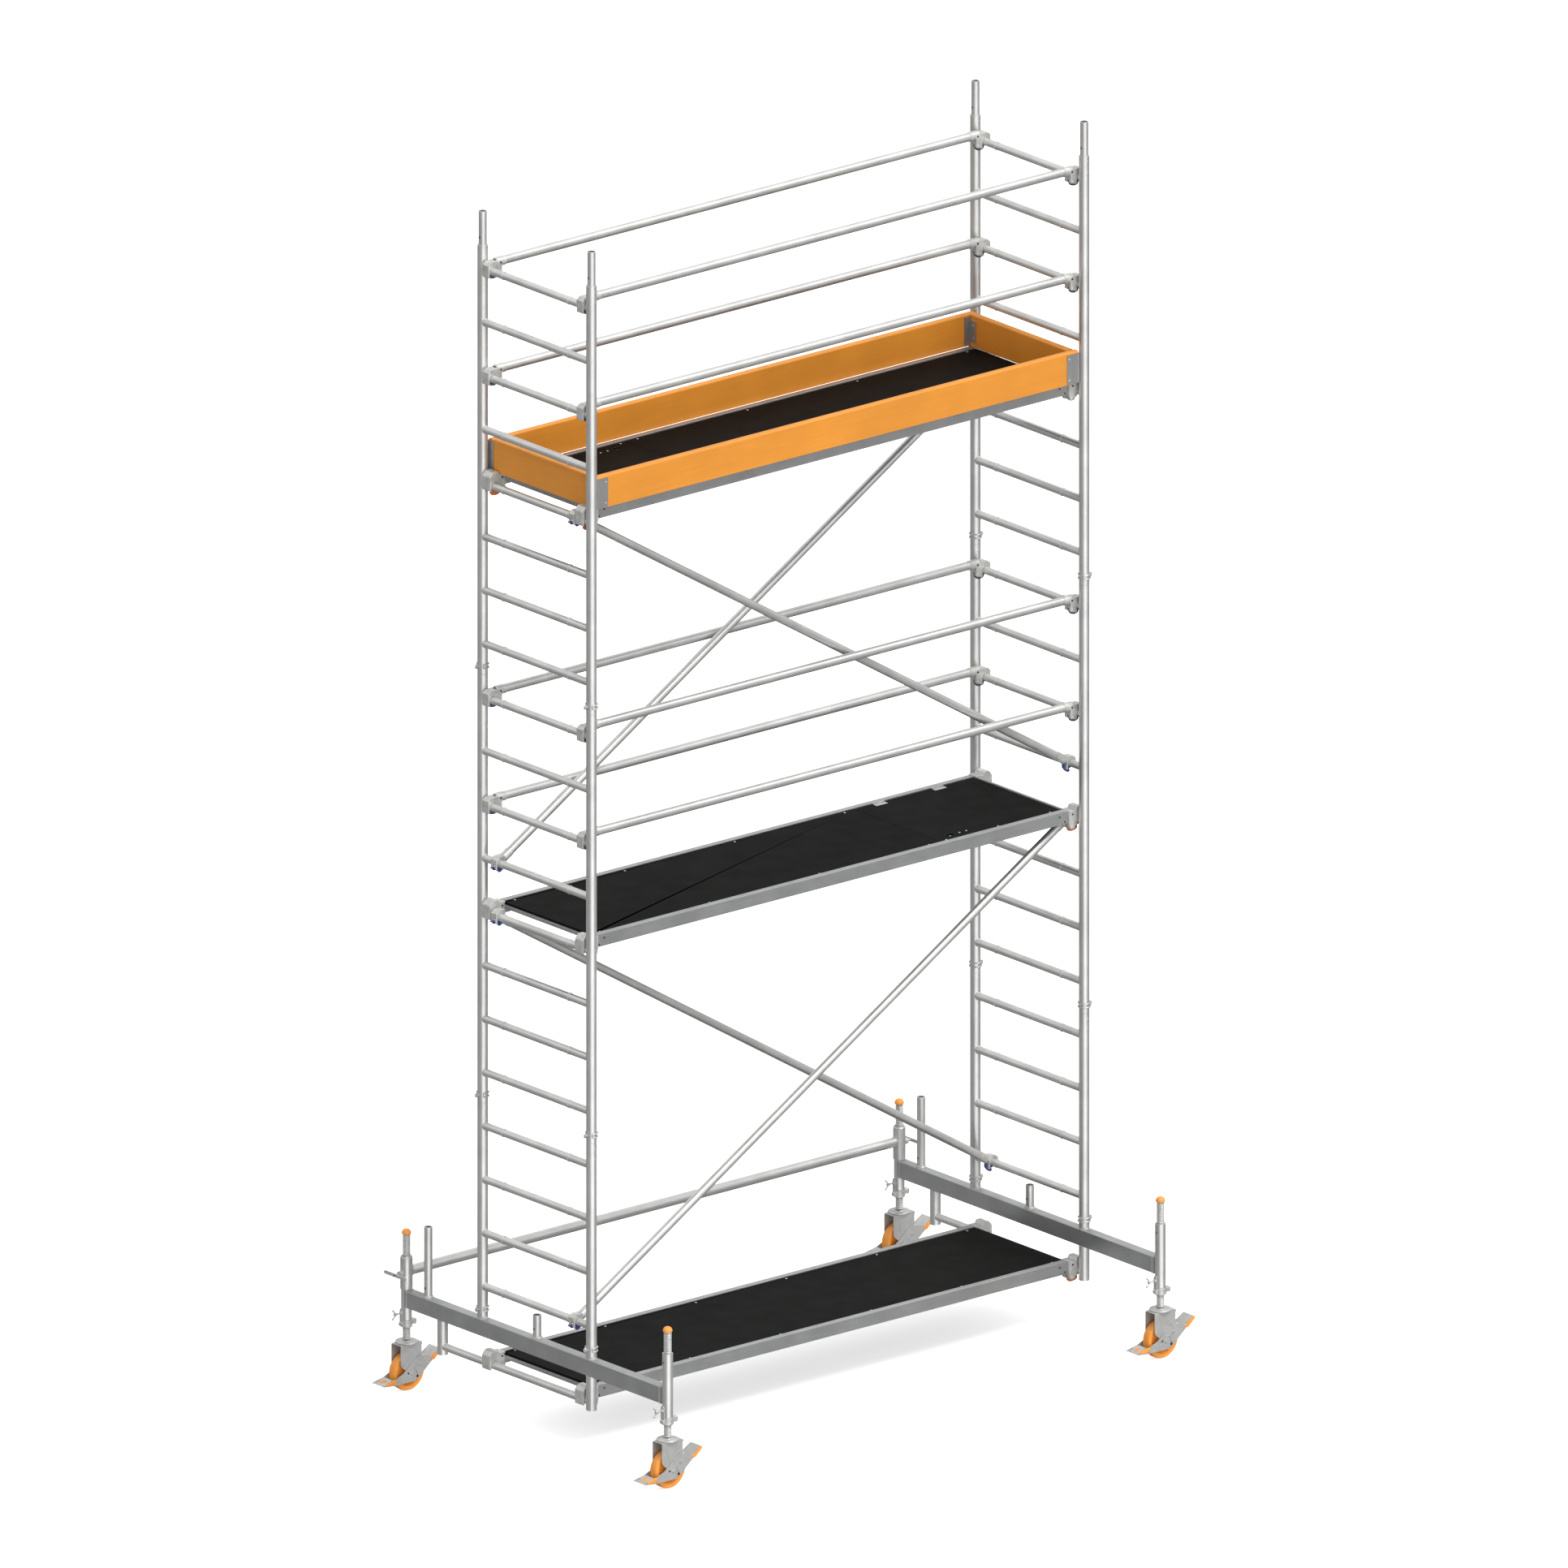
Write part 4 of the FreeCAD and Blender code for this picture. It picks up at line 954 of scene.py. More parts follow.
@dataclass
class LadderFrames:
    """Welded ladder frames of the three storeys at both ends."""

    layout: Layout
    paints: Paints
    storeys: tuple[tuple[str, int], ...] = (("lower", 4), ("middle", 8), ("upper", 8))
    spigot_reach: float = 0.158
    ring_place: float = 0.227
    ring_width: float = 0.009
    ring_rise: float = 0.002
    dimple_drops: tuple[float, ...] = (0.026, 0.078)
    dimple_radius: float = 0.0045

    def stile(self, length: float) -> Part:
        """Stile from height 0 up, with its rivets to the spigot."""
        place = self.layout
        tube = Part.tube(place.tube, place.bore, 0.0, length, sides=40, rim=0.0012)
        parts = [tube.dress(self.paints.tube[Axis.Z])]
        for drop in self.dimple_drops:
            head = Part.turned([(self.dimple_radius, 0.0), (self.dimple_radius, 0.0008),
                                (self.dimple_radius * 0.6, 0.0018), (0.0006, 0.002)], sides=12)
            head.moved(aim((0, -place.tube + 0.0006, length - drop),
                           (0, -place.tube - 1.0, length - drop)))
            parts.append(head.dress(self.paints.weld))
        return joined(parts)

    def rung(self) -> Part:
        """Rung along Y about the origin, with its locating rings and its end welds."""
        place = self.layout
        reach = place.stile_y - place.tube * 0.55
        bar = Part.tube(place.rung, place.rung - 0.003, -reach, reach, sides=32, rim=0.0)
        parts = [bar.dress(self.paints.tube[Axis.Y])]
        half = self.ring_width / 2
        for side in BOTH:
            middle = side * self.ring_place
            crest = place.rung + self.ring_rise
            ring = Part.turned([(place.rung - 0.001, middle - half),
                                (crest - 0.0006, middle - half), (crest, middle - half * 0.4),
                                (crest, middle + half * 0.4), (crest - 0.0006, middle + half),
                                (place.rung - 0.001, middle + half)], sides=32, closed=True)
            parts.append(ring.dress(self.paints.tube[Axis.Y]))
            parts.append(self.saddle_weld(side))
        return joined(parts).moved(quarter(Axis.X, -1))

    def saddle_weld(self, side: int) -> Part:
        """Weld where a rung (along Z here) meets a stile that runs across it, along Y."""
        place = self.layout
        steps = 28
        points = []
        for n in range(steps):
            angle = 2 * math.pi * n / steps
            x, y = place.rung * math.cos(angle), place.rung * math.sin(angle)
            reach = place.stile_y - math.sqrt(place.tube ** 2 - x ** 2)
            points.append((x, y, side * reach))
        bead = Part.wire(points, 0.0019, sides=1, closed=True)
        return bead.dress(self.paints.weld)

    def build(self) -> None:
        """Six frames from one stile pattern per length, one rung and one spigot."""
        place = self.layout
        rung = self.rung()
        spigot = Spigot().make(self.spigot_reach, self.paints)
        for end_name, end in ENDS.items():
            base, number = place.base, 0
            for storey, count in self.storeys:
                top = base + count * place.pitch
                stile = self.stile(count * place.pitch)
                parts = []
                for side in BOTH:
                    at = shift(end * place.stile_x, place.across(side * place.stile_y))
                    parts.append(stile.copy().moved(at, shift(z=base)))
                    parts.append(spigot.copy().moved(at, shift(z=top)))
                for step in range(number, number + count):
                    parts.append(rung.copy().moved(
                        shift(end * place.stile_x, place.middle_y, place.rung_z(step))))
                stile.scrap()
                deliver(f"{end_name}_{storey}_ladder", parts,
                        f"{end_name}_{storey}_frame")
                base, number = top, number + count
        rung.scrap()
        spigot.scrap()


@dataclass
class MobileBeams:
    """Castor beams with their leg tubes, spigots and bottom-deck hoops."""

    layout: Layout
    paints: Paints
    bottom: float = 0.390
    top: float = 0.468
    half_width: float = 0.025
    leg_foot: float = 0.327
    leg_top: float = 0.626
    leg_hole_drop: float = 0.041
    hole: float = 0.0055
    collar: float = 0.008
    free_spigots: tuple[tuple[float, float], ...] = ((0.0, 0.101), (0.750, 0.321))
    hoop_posts: tuple[float, ...] = (-0.375, 0.651)
    hoop_foot: float = 0.228
    hoop_z: float = 0.265
    corner: float = 0.004

    def box_section(self) -> Part:
        """Box section along Y with rounded corners, its ends running into the leg tubes."""
        reach = self.layout.leg_y - self.layout.tube * 0.6
        half = self.half_width
        corners = [(-half, self.bottom), (half, self.bottom), (half, self.top), (-half, self.top)]
        bar = Part.plate(corners, -reach, reach, Axis.Y, edge=0)
        with editing(bar.obj, "EDGE"):
            choose_edges(bar.obj, lambda a, b: abs(a.y - b.y) > reach)
            bpy.ops.mesh.bevel(offset=self.corner, segments=4, affect="EDGES")
        return bar.dress(self.paints.profile[Axis.Y])

    def leg_tube(self) -> Part:
        """Tube that the castor's spindle runs in, drilled near its top."""
        tube = Part.tube(self.layout.tube, self.layout.bore, self.leg_foot, self.leg_top,
                         sides=40, rim=0.0016)
        tube.drilled(self.hole, self.leg_top - self.leg_hole_drop)
        return tube.dress(self.paints.tube[Axis.Z])

    def seam(self, y: float, side: int) -> Part:
        """Weld seam round the beam's end, following its section."""
        half, grow = self.half_width, 0.0006
        points = [(-half, y, self.bottom + 0.004), (-half, y, self.top - 0.004),
                  (-half + 0.004, y, self.top + grow), (half - 0.004, y, self.top + grow),
                  (half, y, self.top - 0.004), (half, y, self.bottom + 0.004),
                  (half - 0.004, y, self.bottom - grow), (-half + 0.004, y, self.bottom - grow)]
        inset = self.layout.tube * 0.25
        points = [(x, place - side * (inset if abs(x) > half - 0.001 else 0.0), z)
                  for x, place, z in points]
        return Part.wire(points, 0.0022, sides=1, closed=True).dress(self.paints.weld)

    def build(self) -> None:
        """Both beams."""
        place = self.layout
        parts = [self.box_section()]
        leg = self.leg_tube()
        for side in BOTH:
            parts.append(leg.copy().moved(shift(y=side * place.leg_y)))
            parts.append(self.seam(side * (place.leg_y - place.tube * 0.95), side))
        leg.scrap()
        collar = Part.turned([(place.tube - 0.001, -self.collar), (place.tube, -self.collar + 0.001),
                              (place.tube, -0.002), (place.tube - 0.002, 0.0),
                              (0.0186, 0.0), (0.0186, -self.collar)], closed=True)
        collar.dress(self.paints.weld)
        spigots = dict(self.free_spigots)
        spigots.update({side * place.stile_y: 0.15 for side in BOTH})
        for y, reach in spigots.items():
            parts.append(Spigot().make(reach, self.paints).moved(shift(y=y, z=place.base)))
            parts.append(collar.copy().moved(shift(y=y, z=place.base)))
            parts.append(weld_ring(place.tube - 0.0006, self.top).dress(self.paints.weld)
                         .moved(shift(y=y)))
        collar.scrap()
        for y in self.hoop_posts:
            post = Part.tube(place.tube, place.bore, self.hoop_foot, self.bottom + 0.002, sides=40)
            parts.append(post.dress(self.paints.tube[Axis.Z]).moved(shift(y=y)))
            parts.append(weld_ring(place.tube, self.bottom).dress(self.paints.weld)
                         .moved(shift(y=y)))
        rail = Part.tube(place.rung, place.rung - 0.003, self.hoop_posts[0] + 0.012,
                         self.hoop_posts[1] - 0.012, rim=0.0)
        rail.moved(quarter(Axis.X, -1), shift(z=self.hoop_z))
        parts.append(rail.dress(self.paints.tube[Axis.Y]))
        beam = joined(parts)
        for end_name, end in ENDS.items():
            at = shift(end * place.stile_x, place.middle_y)
            deliver(end_name + "_castor_beam", [beam.copy().moved(at)],
                    end_name + "_beam")
        beam.scrap()


@dataclass
class JointClips:
    """Spring clips that lock the frames' joints."""

    layout: Layout
    paints: Paints
    pin: float = 0.005
    wire: float = 0.003
    gap: float = 0.0003
    spacing: float = 0.017
    tab: float = 0.015
    sweep: float = 300.0
    rise: float = 0.037
    storey_rungs: tuple[int, ...] = (0, 4, 12)

    def clip(self) -> Part:
        """Clip of the +X end about the stile's axis, its pin along X."""
        ring = self.layout.tube + self.gap + self.wire
        out = ring + self.tab
        bend = self.wire * 1.6
        half = self.spacing / 2
        upper = [(x, y, half) for x, y in arc((0, 0), ring, 360 - self.sweep, 354, 30)]
        upper += [(ring + 0.004, -0.0004, half), (out - bend, 0, half),
                  (out - bend * 0.3, 0, half - bend * 0.3), (out, 0, half - bend)]
        first_x, first_y, _ = upper[0]
        lower = [(x, y, -z) for x, y, z in reversed(upper)]
        turn = [(first_x, first_y, 0.0)]
        loop = Part.wire(upper + lower + turn, self.wire, sides=2, closed=True)
        pin = Part.rod(self.pin, -ring - 0.001, out - self.wire, sides=16, rim=0.001)
        pin.moved(quarter(Axis.Y))
        return joined([loop, pin]).dress(self.paints.zinc)

    def build(self) -> None:
        """A clip at each of the twelve joints."""
        place = self.layout
        clip = self.clip()
        matrices = []
        for end, side in CORNERS:
            flip = Matrix.Rotation(math.pi if end < 0 else 0.0, 4, "Z")
            for rungs in self.storey_rungs:
                at = shift(end * place.stile_x, place.across(side * place.stile_y),
                           place.base + rungs * place.pitch + self.rise)
                matrices.append(at @ flip)
        deliver("joint_spring_clips", copies(clip, matrices), "frame_clips")


@dataclass
class RearStrut:
    """Strut between the rear legs, with its clamping sleeves and cross-bar screws."""

    layout: Layout
    paints: Paints
    radius: float = 0.02225
    height: float = 0.552
    sleeve: float = 0.028
    sleeve_foot: float = 0.470
    sleeve_top: float = 0.620
    clamp_z: float = 0.545
    boss: float = 0.014
    boss_reach: float = 0.045
    screw: float = 0.006
    screw_reach: float = 0.070
    bar_half: float = 0.075
    bar_thick: float = 0.008
    bar_rise: float = 0.008

    def clamp(self) -> Part:
        """Sleeve and boss of the +X end about the leg's axis."""
        bore = self.layout.tube + 0.0003
        rolled = 0.0015
        sleeve = Part.turned([(bore, self.sleeve_foot), (self.sleeve - rolled, self.sleeve_foot),
                              (self.sleeve, self.sleeve_foot + rolled),
                              (self.sleeve, self.sleeve_top - rolled),
                              (self.sleeve - rolled, self.sleeve_top), (bore, self.sleeve_top)],
                             sides=40, closed=True)
        sleeve.dress(self.paints.tube[Axis.Z])
        boss = Part.tube(self.boss, self.screw + 0.0002, bore + 0.001, self.boss_reach, sides=24,
                         rim=0.0012)
        bead = weld_ring(self.boss, self.sleeve + 0.0008, 0.002)
        fitting = joined([boss.dress(self.paints.dipped), bead.dress(self.paints.weld)])
        return joined([sleeve, fitting.moved(quarter(Axis.Y), shift(z=self.clamp_z))])

    def screw_piece(self) -> Part:
        """Screw of the +X end with its cross bar along Y."""
        tip = self.layout.tube + 0.0003
        shank = Part.rod(self.screw, tip, self.screw_reach, sides=20, rim=0.0008)
        threads = [weld_ring(self.screw - 0.0006, tip + 0.024 + n * 0.0018, 0.0007)
                   for n in range(9)]
        shank = joined([shank, *threads]).moved(quarter(Axis.Y), shift(z=self.clamp_z))
        ends = arc((self.bar_half - self.bar_rise, self.clamp_z), self.bar_rise, -90, 90, 10)
        ends += arc((self.bar_rise - self.bar_half, self.clamp_z), self.bar_rise, 90, 270, 10)
        bar = Part.plate(ends, self.screw_reach - self.bar_thick, self.screw_reach, Axis.X,
                         edge=0.0016)
        return joined([shank, bar]).dress(self.paints.dipped)

    def build(self) -> None:
        """The strut and its two screws."""
        place = self.layout
        rear = place.across(place.leg_y)
        reach = place.stile_x - self.sleeve * 0.8
        tube = Part.tube(self.radius, self.radius - 0.003, -reach, reach, sides=40, rim=0.0)
        tube.moved(quarter(Axis.Y), shift(y=rear, z=self.height))
        parts = [tube.dress(self.paints.tube[Axis.X])]
        clamp, screw = self.clamp(), self.screw_piece()
        for end_name, end in ENDS.items():
            at = shift(end * place.stile_x, rear) @ facing(end)
            parts.append(clamp.copy().moved(at))
            bead = weld_ring(self.radius, 0.0, 0.0024).dress(self.paints.weld)
            bead.moved(quarter(Axis.Y),
                       shift(end * (place.stile_x - self.sleeve), rear, self.height))
            parts.append(bead)
            node = end_name + "_strut_screw"
            deliver(end_name + "_clamp_screw", [screw.copy().moved(at)],
                    node, node)
        clamp.scrap()
        screw.scrap()
        deliver("rear_base_strut", parts, "base_strut")


# --- Castors ---
@dataclass
class Castors:
    """Four castor legs: jack spindle, nut, fork, wheel and double brake lever."""

    layout: Layout
    paints: Paints
    axle_z: float = 0.0875
    wheel: float = 0.0875
    half_width: float = 0.023
    hub: float = 0.022
    half_hub: float = 0.028
    crown_z: float = 0.2217
    sheet: float = 0.004
    cheek: float = 0.030
    lever: float = 0.036
    spindle: float = 0.018
    thread_root: float = 0.0150
    thread_pitch: float = 0.008
    spindle_foot: float = 0.2300
    spindle_top: float = 0.730
    cap: float = 0.0215
    screw_z: float = 0.362
    wing_reach: float = 0.072

    def thread(self) -> Part:
        """Round-threaded bar, swept by a screw modifier."""
        root, crest, pitch = self.thread_root, self.spindle, self.thread_pitch
        profile = [(root, 0.0), (crest - 0.0003, 0.28 * pitch), (crest, 0.34 * pitch),
                   (crest, 0.50 * pitch), (crest - 0.0003, 0.56 * pitch), (root, 0.84 * pitch),
                   (root, pitch)]
        bar = Part.chain([(radius, 0.0, self.spindle_foot + rise) for radius, rise in profile],
                         closed=False, fill=False)
        pick([bar.obj])
        bpy.ops.object.modifier_add(type="SCREW")
        sweep = bar.obj.modifiers[-1]
        sweep.screw_offset = pitch
        sweep.iterations = int((self.spindle_top - self.spindle_foot) / pitch)
        sweep.steps = sweep.render_steps = 24
        bpy.ops.object.modifier_apply(modifier=sweep.name)
        with editing(bar.obj, "VERT"):
            bpy.ops.mesh.select_all(action="SELECT")
            bpy.ops.mesh.remove_doubles(threshold=NEAR)
            bpy.ops.mesh.fill_holes(sides=0)
        return bar.outward().dress(self.paints.dipped)

    def spindle_piece(self) -> Part:
        """Spindle, its orange end cap, and the swivel race and kingpin below it."""
        top = self.spindle_top
        cap = Part.turned([(0.0184, top - 0.003), (self.cap - 0.0008, top - 0.003),
                           (self.cap, top - 0.001), (self.cap, top + 0.002),
                           (0.0206, top + 0.0065), (0.0182, top + 0.0115), (0.0142, top + 0.0158),
                           (0.0092, top + 0.0186), (0.0035, top + 0.0198)], sides=32)
        low = self.crown_z + 0.0003
        race = Part.turned([(0.0490, low), (0.0508, low + 0.001), (0.0510, low + 0.0036),
                            (0.0492, low + 0.0062), (0.0440, low + 0.0072), (0.0405, low + 0.0076),
                            (0.0392, low + 0.0098), (0.0300, low + 0.0100), (0.0272, low + 0.0078),
                            (0.0215, low + 0.0076), (0.0196, low + 0.0100),
                            (0.0160, low + 0.0100)], sides=48)
        pin = Part.rod(0.008, self.crown_z - 0.012, low + 0.001, sides=20)
        nut = Part.rod(0.013, self.crown_z - 0.0103, self.crown_z - 0.0043, sides=6)
        nut.rounded(0.0012)
        steel = [part.dress(self.paints.zinc) for part in (race, pin, nut)]
        return joined([self.thread(), cap.dress(self.paints.orange), *steel])

    def nut_piece(self) -> Part:
        """Cast jack nut with its hammer lug, locking tab and wing screw."""
        cast = self.paints.dipped
        hub = Part.turned([(0.0181, 0.2930), (0.0232, 0.2930), (0.0256, 0.2944), (0.0266, 0.2975),
                           (0.0258, 0.3060), (0.0262, 0.3150), (0.0270, 0.3200), (0.0270, 0.3248),
                           (0.0258, 0.3266), (0.0181, 0.3266)], sides=32, closed=True)
        lug = Part.plate(mm([(15, 297), (36, 301), (44, 298), (50, 300), (52, 306), (52, 317),
                             (49, 324), (43, 326), (36, 322), (15, 326)]), -0.0105, 0.0105,
                         Axis.Y, edge=0.004, segments=3)
        ear = Part.plate(mm([(-20, 297), (-33, 300), (-37, 306), (-36, 316), (-30, 322),
                             (-20, 324)]), -0.0125, 0.0125, Axis.Y, edge=0.003, segments=3)
        tab = Part.plate(mm([(-12, 301), (12, 301), (12, 371)]) + arc((0, 0.372), 0.012, 0, 180)
                         + mm([(-12, 371)]), -0.0308, -0.0252, Axis.X, edge=0.0014)
        turn = quarter(Axis.Y, -1)
        boss = Part.turned([(0.0042, 0.0300), (0.0095, 0.0300), (0.0088, 0.0345), (0.0076, 0.0358),
                            (0.0042, 0.0358)], sides=24, closed=True)
        boss.moved(turn, shift(z=self.screw_z))
        shank = [Part.rod(0.0037, 0.0250, self.wing_reach - 0.008, sides=16)]
        shank += [weld_ring(0.0034, 0.0375 + n * 0.0016, 0.0006) for n in range(13)]
        head = Part.turned([(0.0050, 0.0580), (0.0072, 0.0592), (0.0080, 0.0640),
                            (0.0070, 0.0700), (0.0040, 0.0718)], sides=20)
        screw = joined(shank + [head]).moved(turn, shift(z=self.screw_z))
        wings = []
        for side in BOTH:
            sweep = [(-0.0640, 0.0, self.screw_z), (-0.0680, 0.0, self.screw_z + side * 0.008),
                     (-0.0720, 0.0, self.screw_z + side * 0.014),
                     (-0.0775, 0.0, self.screw_z + side * 0.0195)]
            wings.append(Part.wire(sweep, 0.0033, sides=2, smooth=True))
            wings.append(Part.ball(0.0050, (-0.0785, 0.0, self.screw_z + side * 0.0198)))
        return joined([hub, lug, ear, tab, boss, screw, *wings]).dress(cast)

    def fork_piece(self) -> Part:
        """Pressed fork: crown, cheeks, brake shoe, spring bracket and the axle bolt."""
        foot, top = self.crown_z - self.sheet, self.crown_z
        corner = 0.014
        half_x, half_y = 0.060, self.cheek + self.sheet
        outline = []
        for sx, sy, start in ((1, 1, 0), (-1, 1, 90), (-1, -1, 180), (1, -1, 270)):
            outline += arc((sx * (half_x - corner), sy * (half_y - corner)), corner, start,
                           start + 90, 6)
        crown = Part.plate(outline, foot, top, Axis.Z, edge=0.0014)
        side = mm([(-60, 218), (-60, 132), (-52, 118), (-30, 100)])
        side += arc((0, self.axle_z), 0.024, 155, 385, 16)
        side += mm([(30, 100), (52, 118), (60, 132), (60, 218)])
        metal = [crown]
        for sign in BOTH:
            near, far = sign * self.cheek, sign * half_y
            cheek = Part.plate(side, near, far, Axis.Y, edge=0.0010)
            rib = Part.plate(mm([(-34, 205), (-22, 140), (-10, 118), (10, 118), (22, 140),
                                 (34, 205)]), far, far + sign * 0.0012, Axis.Y, edge=0.0006)
            metal += [cheek, rib]
        shoe = Part.block((0.026, -0.017, 0.190), (0.052, 0.017, foot + 0.001), edge=0.003)
        hook = Part.wire([(0.058, -0.020, 0.2165), (0.068, -0.020, 0.2160),
                          (0.073, -0.020, 0.2080), (0.069, -0.020, 0.2010),
                          (0.062, -0.020, 0.2030)], 0.0024, sides=2, smooth=True)
        plate = Part.plate(mm([(56, 212), (70, 206), (72, 196), (66, 188), (56, 186)]),
                           0.012, 0.016, Axis.Y, edge=0.0012)
        bolt = Part.rod(0.006, -0.0405, 0.0405, sides=20)
        dome = Part.turned([(0.0110, 0.0403), (0.0110, 0.0420), (0.0098, 0.0448),
                            (0.0062, 0.0462)], sides=28)
        nut = Part.rod(0.0108, -0.0463, -0.0403, sides=6).rounded(0.0010)
        axle = joined([bolt, dome, nut]).moved(quarter(Axis.X), shift(z=self.axle_z))
        return joined(metal + [shoe, hook, plate, axle]).dress(self.paints.zinc)

    def wheel_piece(self) -> Part:
        """Wheel about Y: crowned tyre, rim, ribbed web and hub."""
        reach, half = self.wheel, self.half_width
        tyre = [(0.0660, -half + 0.003), (0.0790, -half), (0.0835, -half + 0.0015),
                (0.0862, -half + 0.006), (0.0873, -half + 0.013), (reach, 0.0)]
        tyre += [(radius, -across) for radius, across in reversed(tyre[:-1])]
        parts = [Part.turned(tyre, sides=56, closed=True).dress(self.paints.orange)]
        body = [(0.0062, -self.half_hub), (self.hub - 0.002, -self.half_hub),
                (self.hub, -self.half_hub + 0.002), (self.hub + 0.001, -0.011),
                (0.0580, -0.008), (0.0625, -0.0165), (0.0668, -0.0185)]
        body += [(radius, -across) for radius, across in reversed(body)]
        parts.append(Part.turned(body, sides=56, closed=True).dress(self.paints.orange))
        rib = Part.block((0.020, -0.0024, -0.0170), (0.0620, 0.0024, 0.0170), edge=0.0010)
        rib.dress(self.paints.orange)
        turns = [Matrix.Rotation(math.radians(60 * n), 4, "Z") for n in range(6)]
        parts += copies(rib, turns)
        return joined(parts).moved(quarter(Axis.X), shift(z=self.axle_z))

    def lever_piece(self) -> Part:
        """Pressed double lever with its two pedals, their orange edges and the spring."""
        outline = mm([(-165, 57), (-101, 70), (-50, 92), (-24, 111), (11, 142), (42, 160),
                      (90, 150), (118, 139), (165, 168), (161, 161), (118, 123), (66, 79),
                      (19, 45.5), (-55, 45.5), (-101, 46), (-165, 52)])
        steel, trim = [], []
        for sign in BOTH:
            far = sign * (self.lever + self.sheet)
            steel.append(Part.plate(outline, sign * self.lever, far, Axis.Y, edge=0.0011))
            rib = mm([(-40, 62), (-8, 62), (30, 98), (62, 128), (84, 136), (80, 142), (52, 140),
                      (18, 112), (-14, 82), (-42, 72)])
            steel.append(Part.plate(rib, far, far + sign * 0.0010, Axis.Y, edge=0.0007))
        wide = self.lever + self.sheet / 2
        low_pedal = mm([(-165, 57), (-101, 70), (-101, 67), (-165, 54)])
        high_pedal = mm([(112, 131), (118, 134), (165, 168), (165, 165), (118, 131)])
        steel.append(Part.plate(low_pedal, -wide, wide, Axis.Y, edge=0.0010))
        steel.append(Part.plate(high_pedal, -wide, wide, Axis.Y, edge=0.0010))
        for n in range(4):
            x = -0.155 + n * 0.006
            z = 0.057 + (x + 0.165) * 0.203 + 0.0008
            steel.append(Part.wire([(x, 0.022, z), (x, 0.034, z)], 0.0012, sides=1))
        left = mm([(-152, 54), (-150, 62), (-100, 75), (-92, 70), (-96, 58), (-120, 52)])
        right = mm([(107, 124), (110, 133), (120, 141), (157, 169), (165, 167.5), (163, 158),
                    (124, 124)])
        outer = -self.lever - self.sheet
        for edge in (left, right):
            trim.append(Part.plate(edge, outer - 0.0055, outer + 0.0060, Axis.Y, edge=0.0025,
                                   segments=3))
        spot = Part.turned([(0.0140, 0.0), (0.0140, 0.0012), (0.0120, 0.0024), (0.0040, 0.0030)],
                           sides=28)
        tilt = Matrix.Rotation(-math.atan2(13, 64), 4, "Y")
        trim.append(spot.moved(tilt, shift(-0.1330, 0.0, 0.0630)))
        pad = Part.block((0.0, -0.020, -0.004), (0.020, 0.020, 0.0), edge=0.0015)
        trim.append(pad.moved(Matrix.Rotation(math.radians(-36), 4, "Y"),
                              shift(0.1130, 0.0, 0.1290)))
        skin = -self.lever - self.sheet - 0.0022
        spring = Part.wire([(-0.006, skin, 0.0990), (0.002, skin, 0.1070), (0.016, skin, 0.1080),
                            (0.026, skin, 0.0980), (0.026, skin, 0.0840), (0.034, skin, 0.0760)],
                           0.0017, sides=2, smooth=True)
        coil = [weld_ring(0.0040, n * 0.0026, 0.0013) for n in range(5)]
        coil = joined(coil).moved(Matrix.Rotation(math.radians(50), 4, "Y"),
                                  shift(0.040, skin + 0.0010, 0.1180))
        steel += [spring, coil]
        # The lever's two holes are dark discs of painted shade on its outer plate.
        holes = []
        for x, z, radius in ((0.030, 0.066, 0.0065), (-0.022, 0.088, 0.0045)):
            disc = Part.turned([(radius, 0.0), (radius, 0.0006), (radius * 0.8, 0.0002)], sides=20)
            holes.append(disc.moved(aim((x, outer - 0.0004, z), (x, outer - 1.0, z))))
        body = joined([part.dress(self.paints.zinc) for part in steel])
        return joined([body, *[part.dress(self.paints.orange) for part in trim],
                       *[part.dress(self.paints.hole) for part in holes]])

    def build(self) -> None:
        """The five pieces of every corner, each pattern made once."""
        patterns = (("spindle", "leg", "threaded_spindle", "galvanised_steel",
                     self.spindle_piece()),
                    ("spindle_nut", "nut", "jack_nut", "galvanised_steel", self.nut_piece()),
                    ("castor_fork", "fork", "swivel_fork", "zinc_steel", self.fork_piece()),
                    ("wheel", "wheel", "castor_wheel", "orange_wheel", self.wheel_piece()),
                    ("brake_lever", "lever", "brake_pedals", "zinc_steel", self.lever_piece()))
        place = self.layout
        for end_name, end in ENDS.items():
            for side_name, side in SIDES.items():
                corner = f"{end_name}_{side_name}_"
                at = shift(end * place.stile_x, place.across(side * place.leg_y))
                for node, body, name, slot, pattern in patterns:
                    deliver(corner + name, [pattern.copy().moved(at)], corner + node,
                            corner + body)
        for pattern in patterns:
            pattern[-1].scrap()


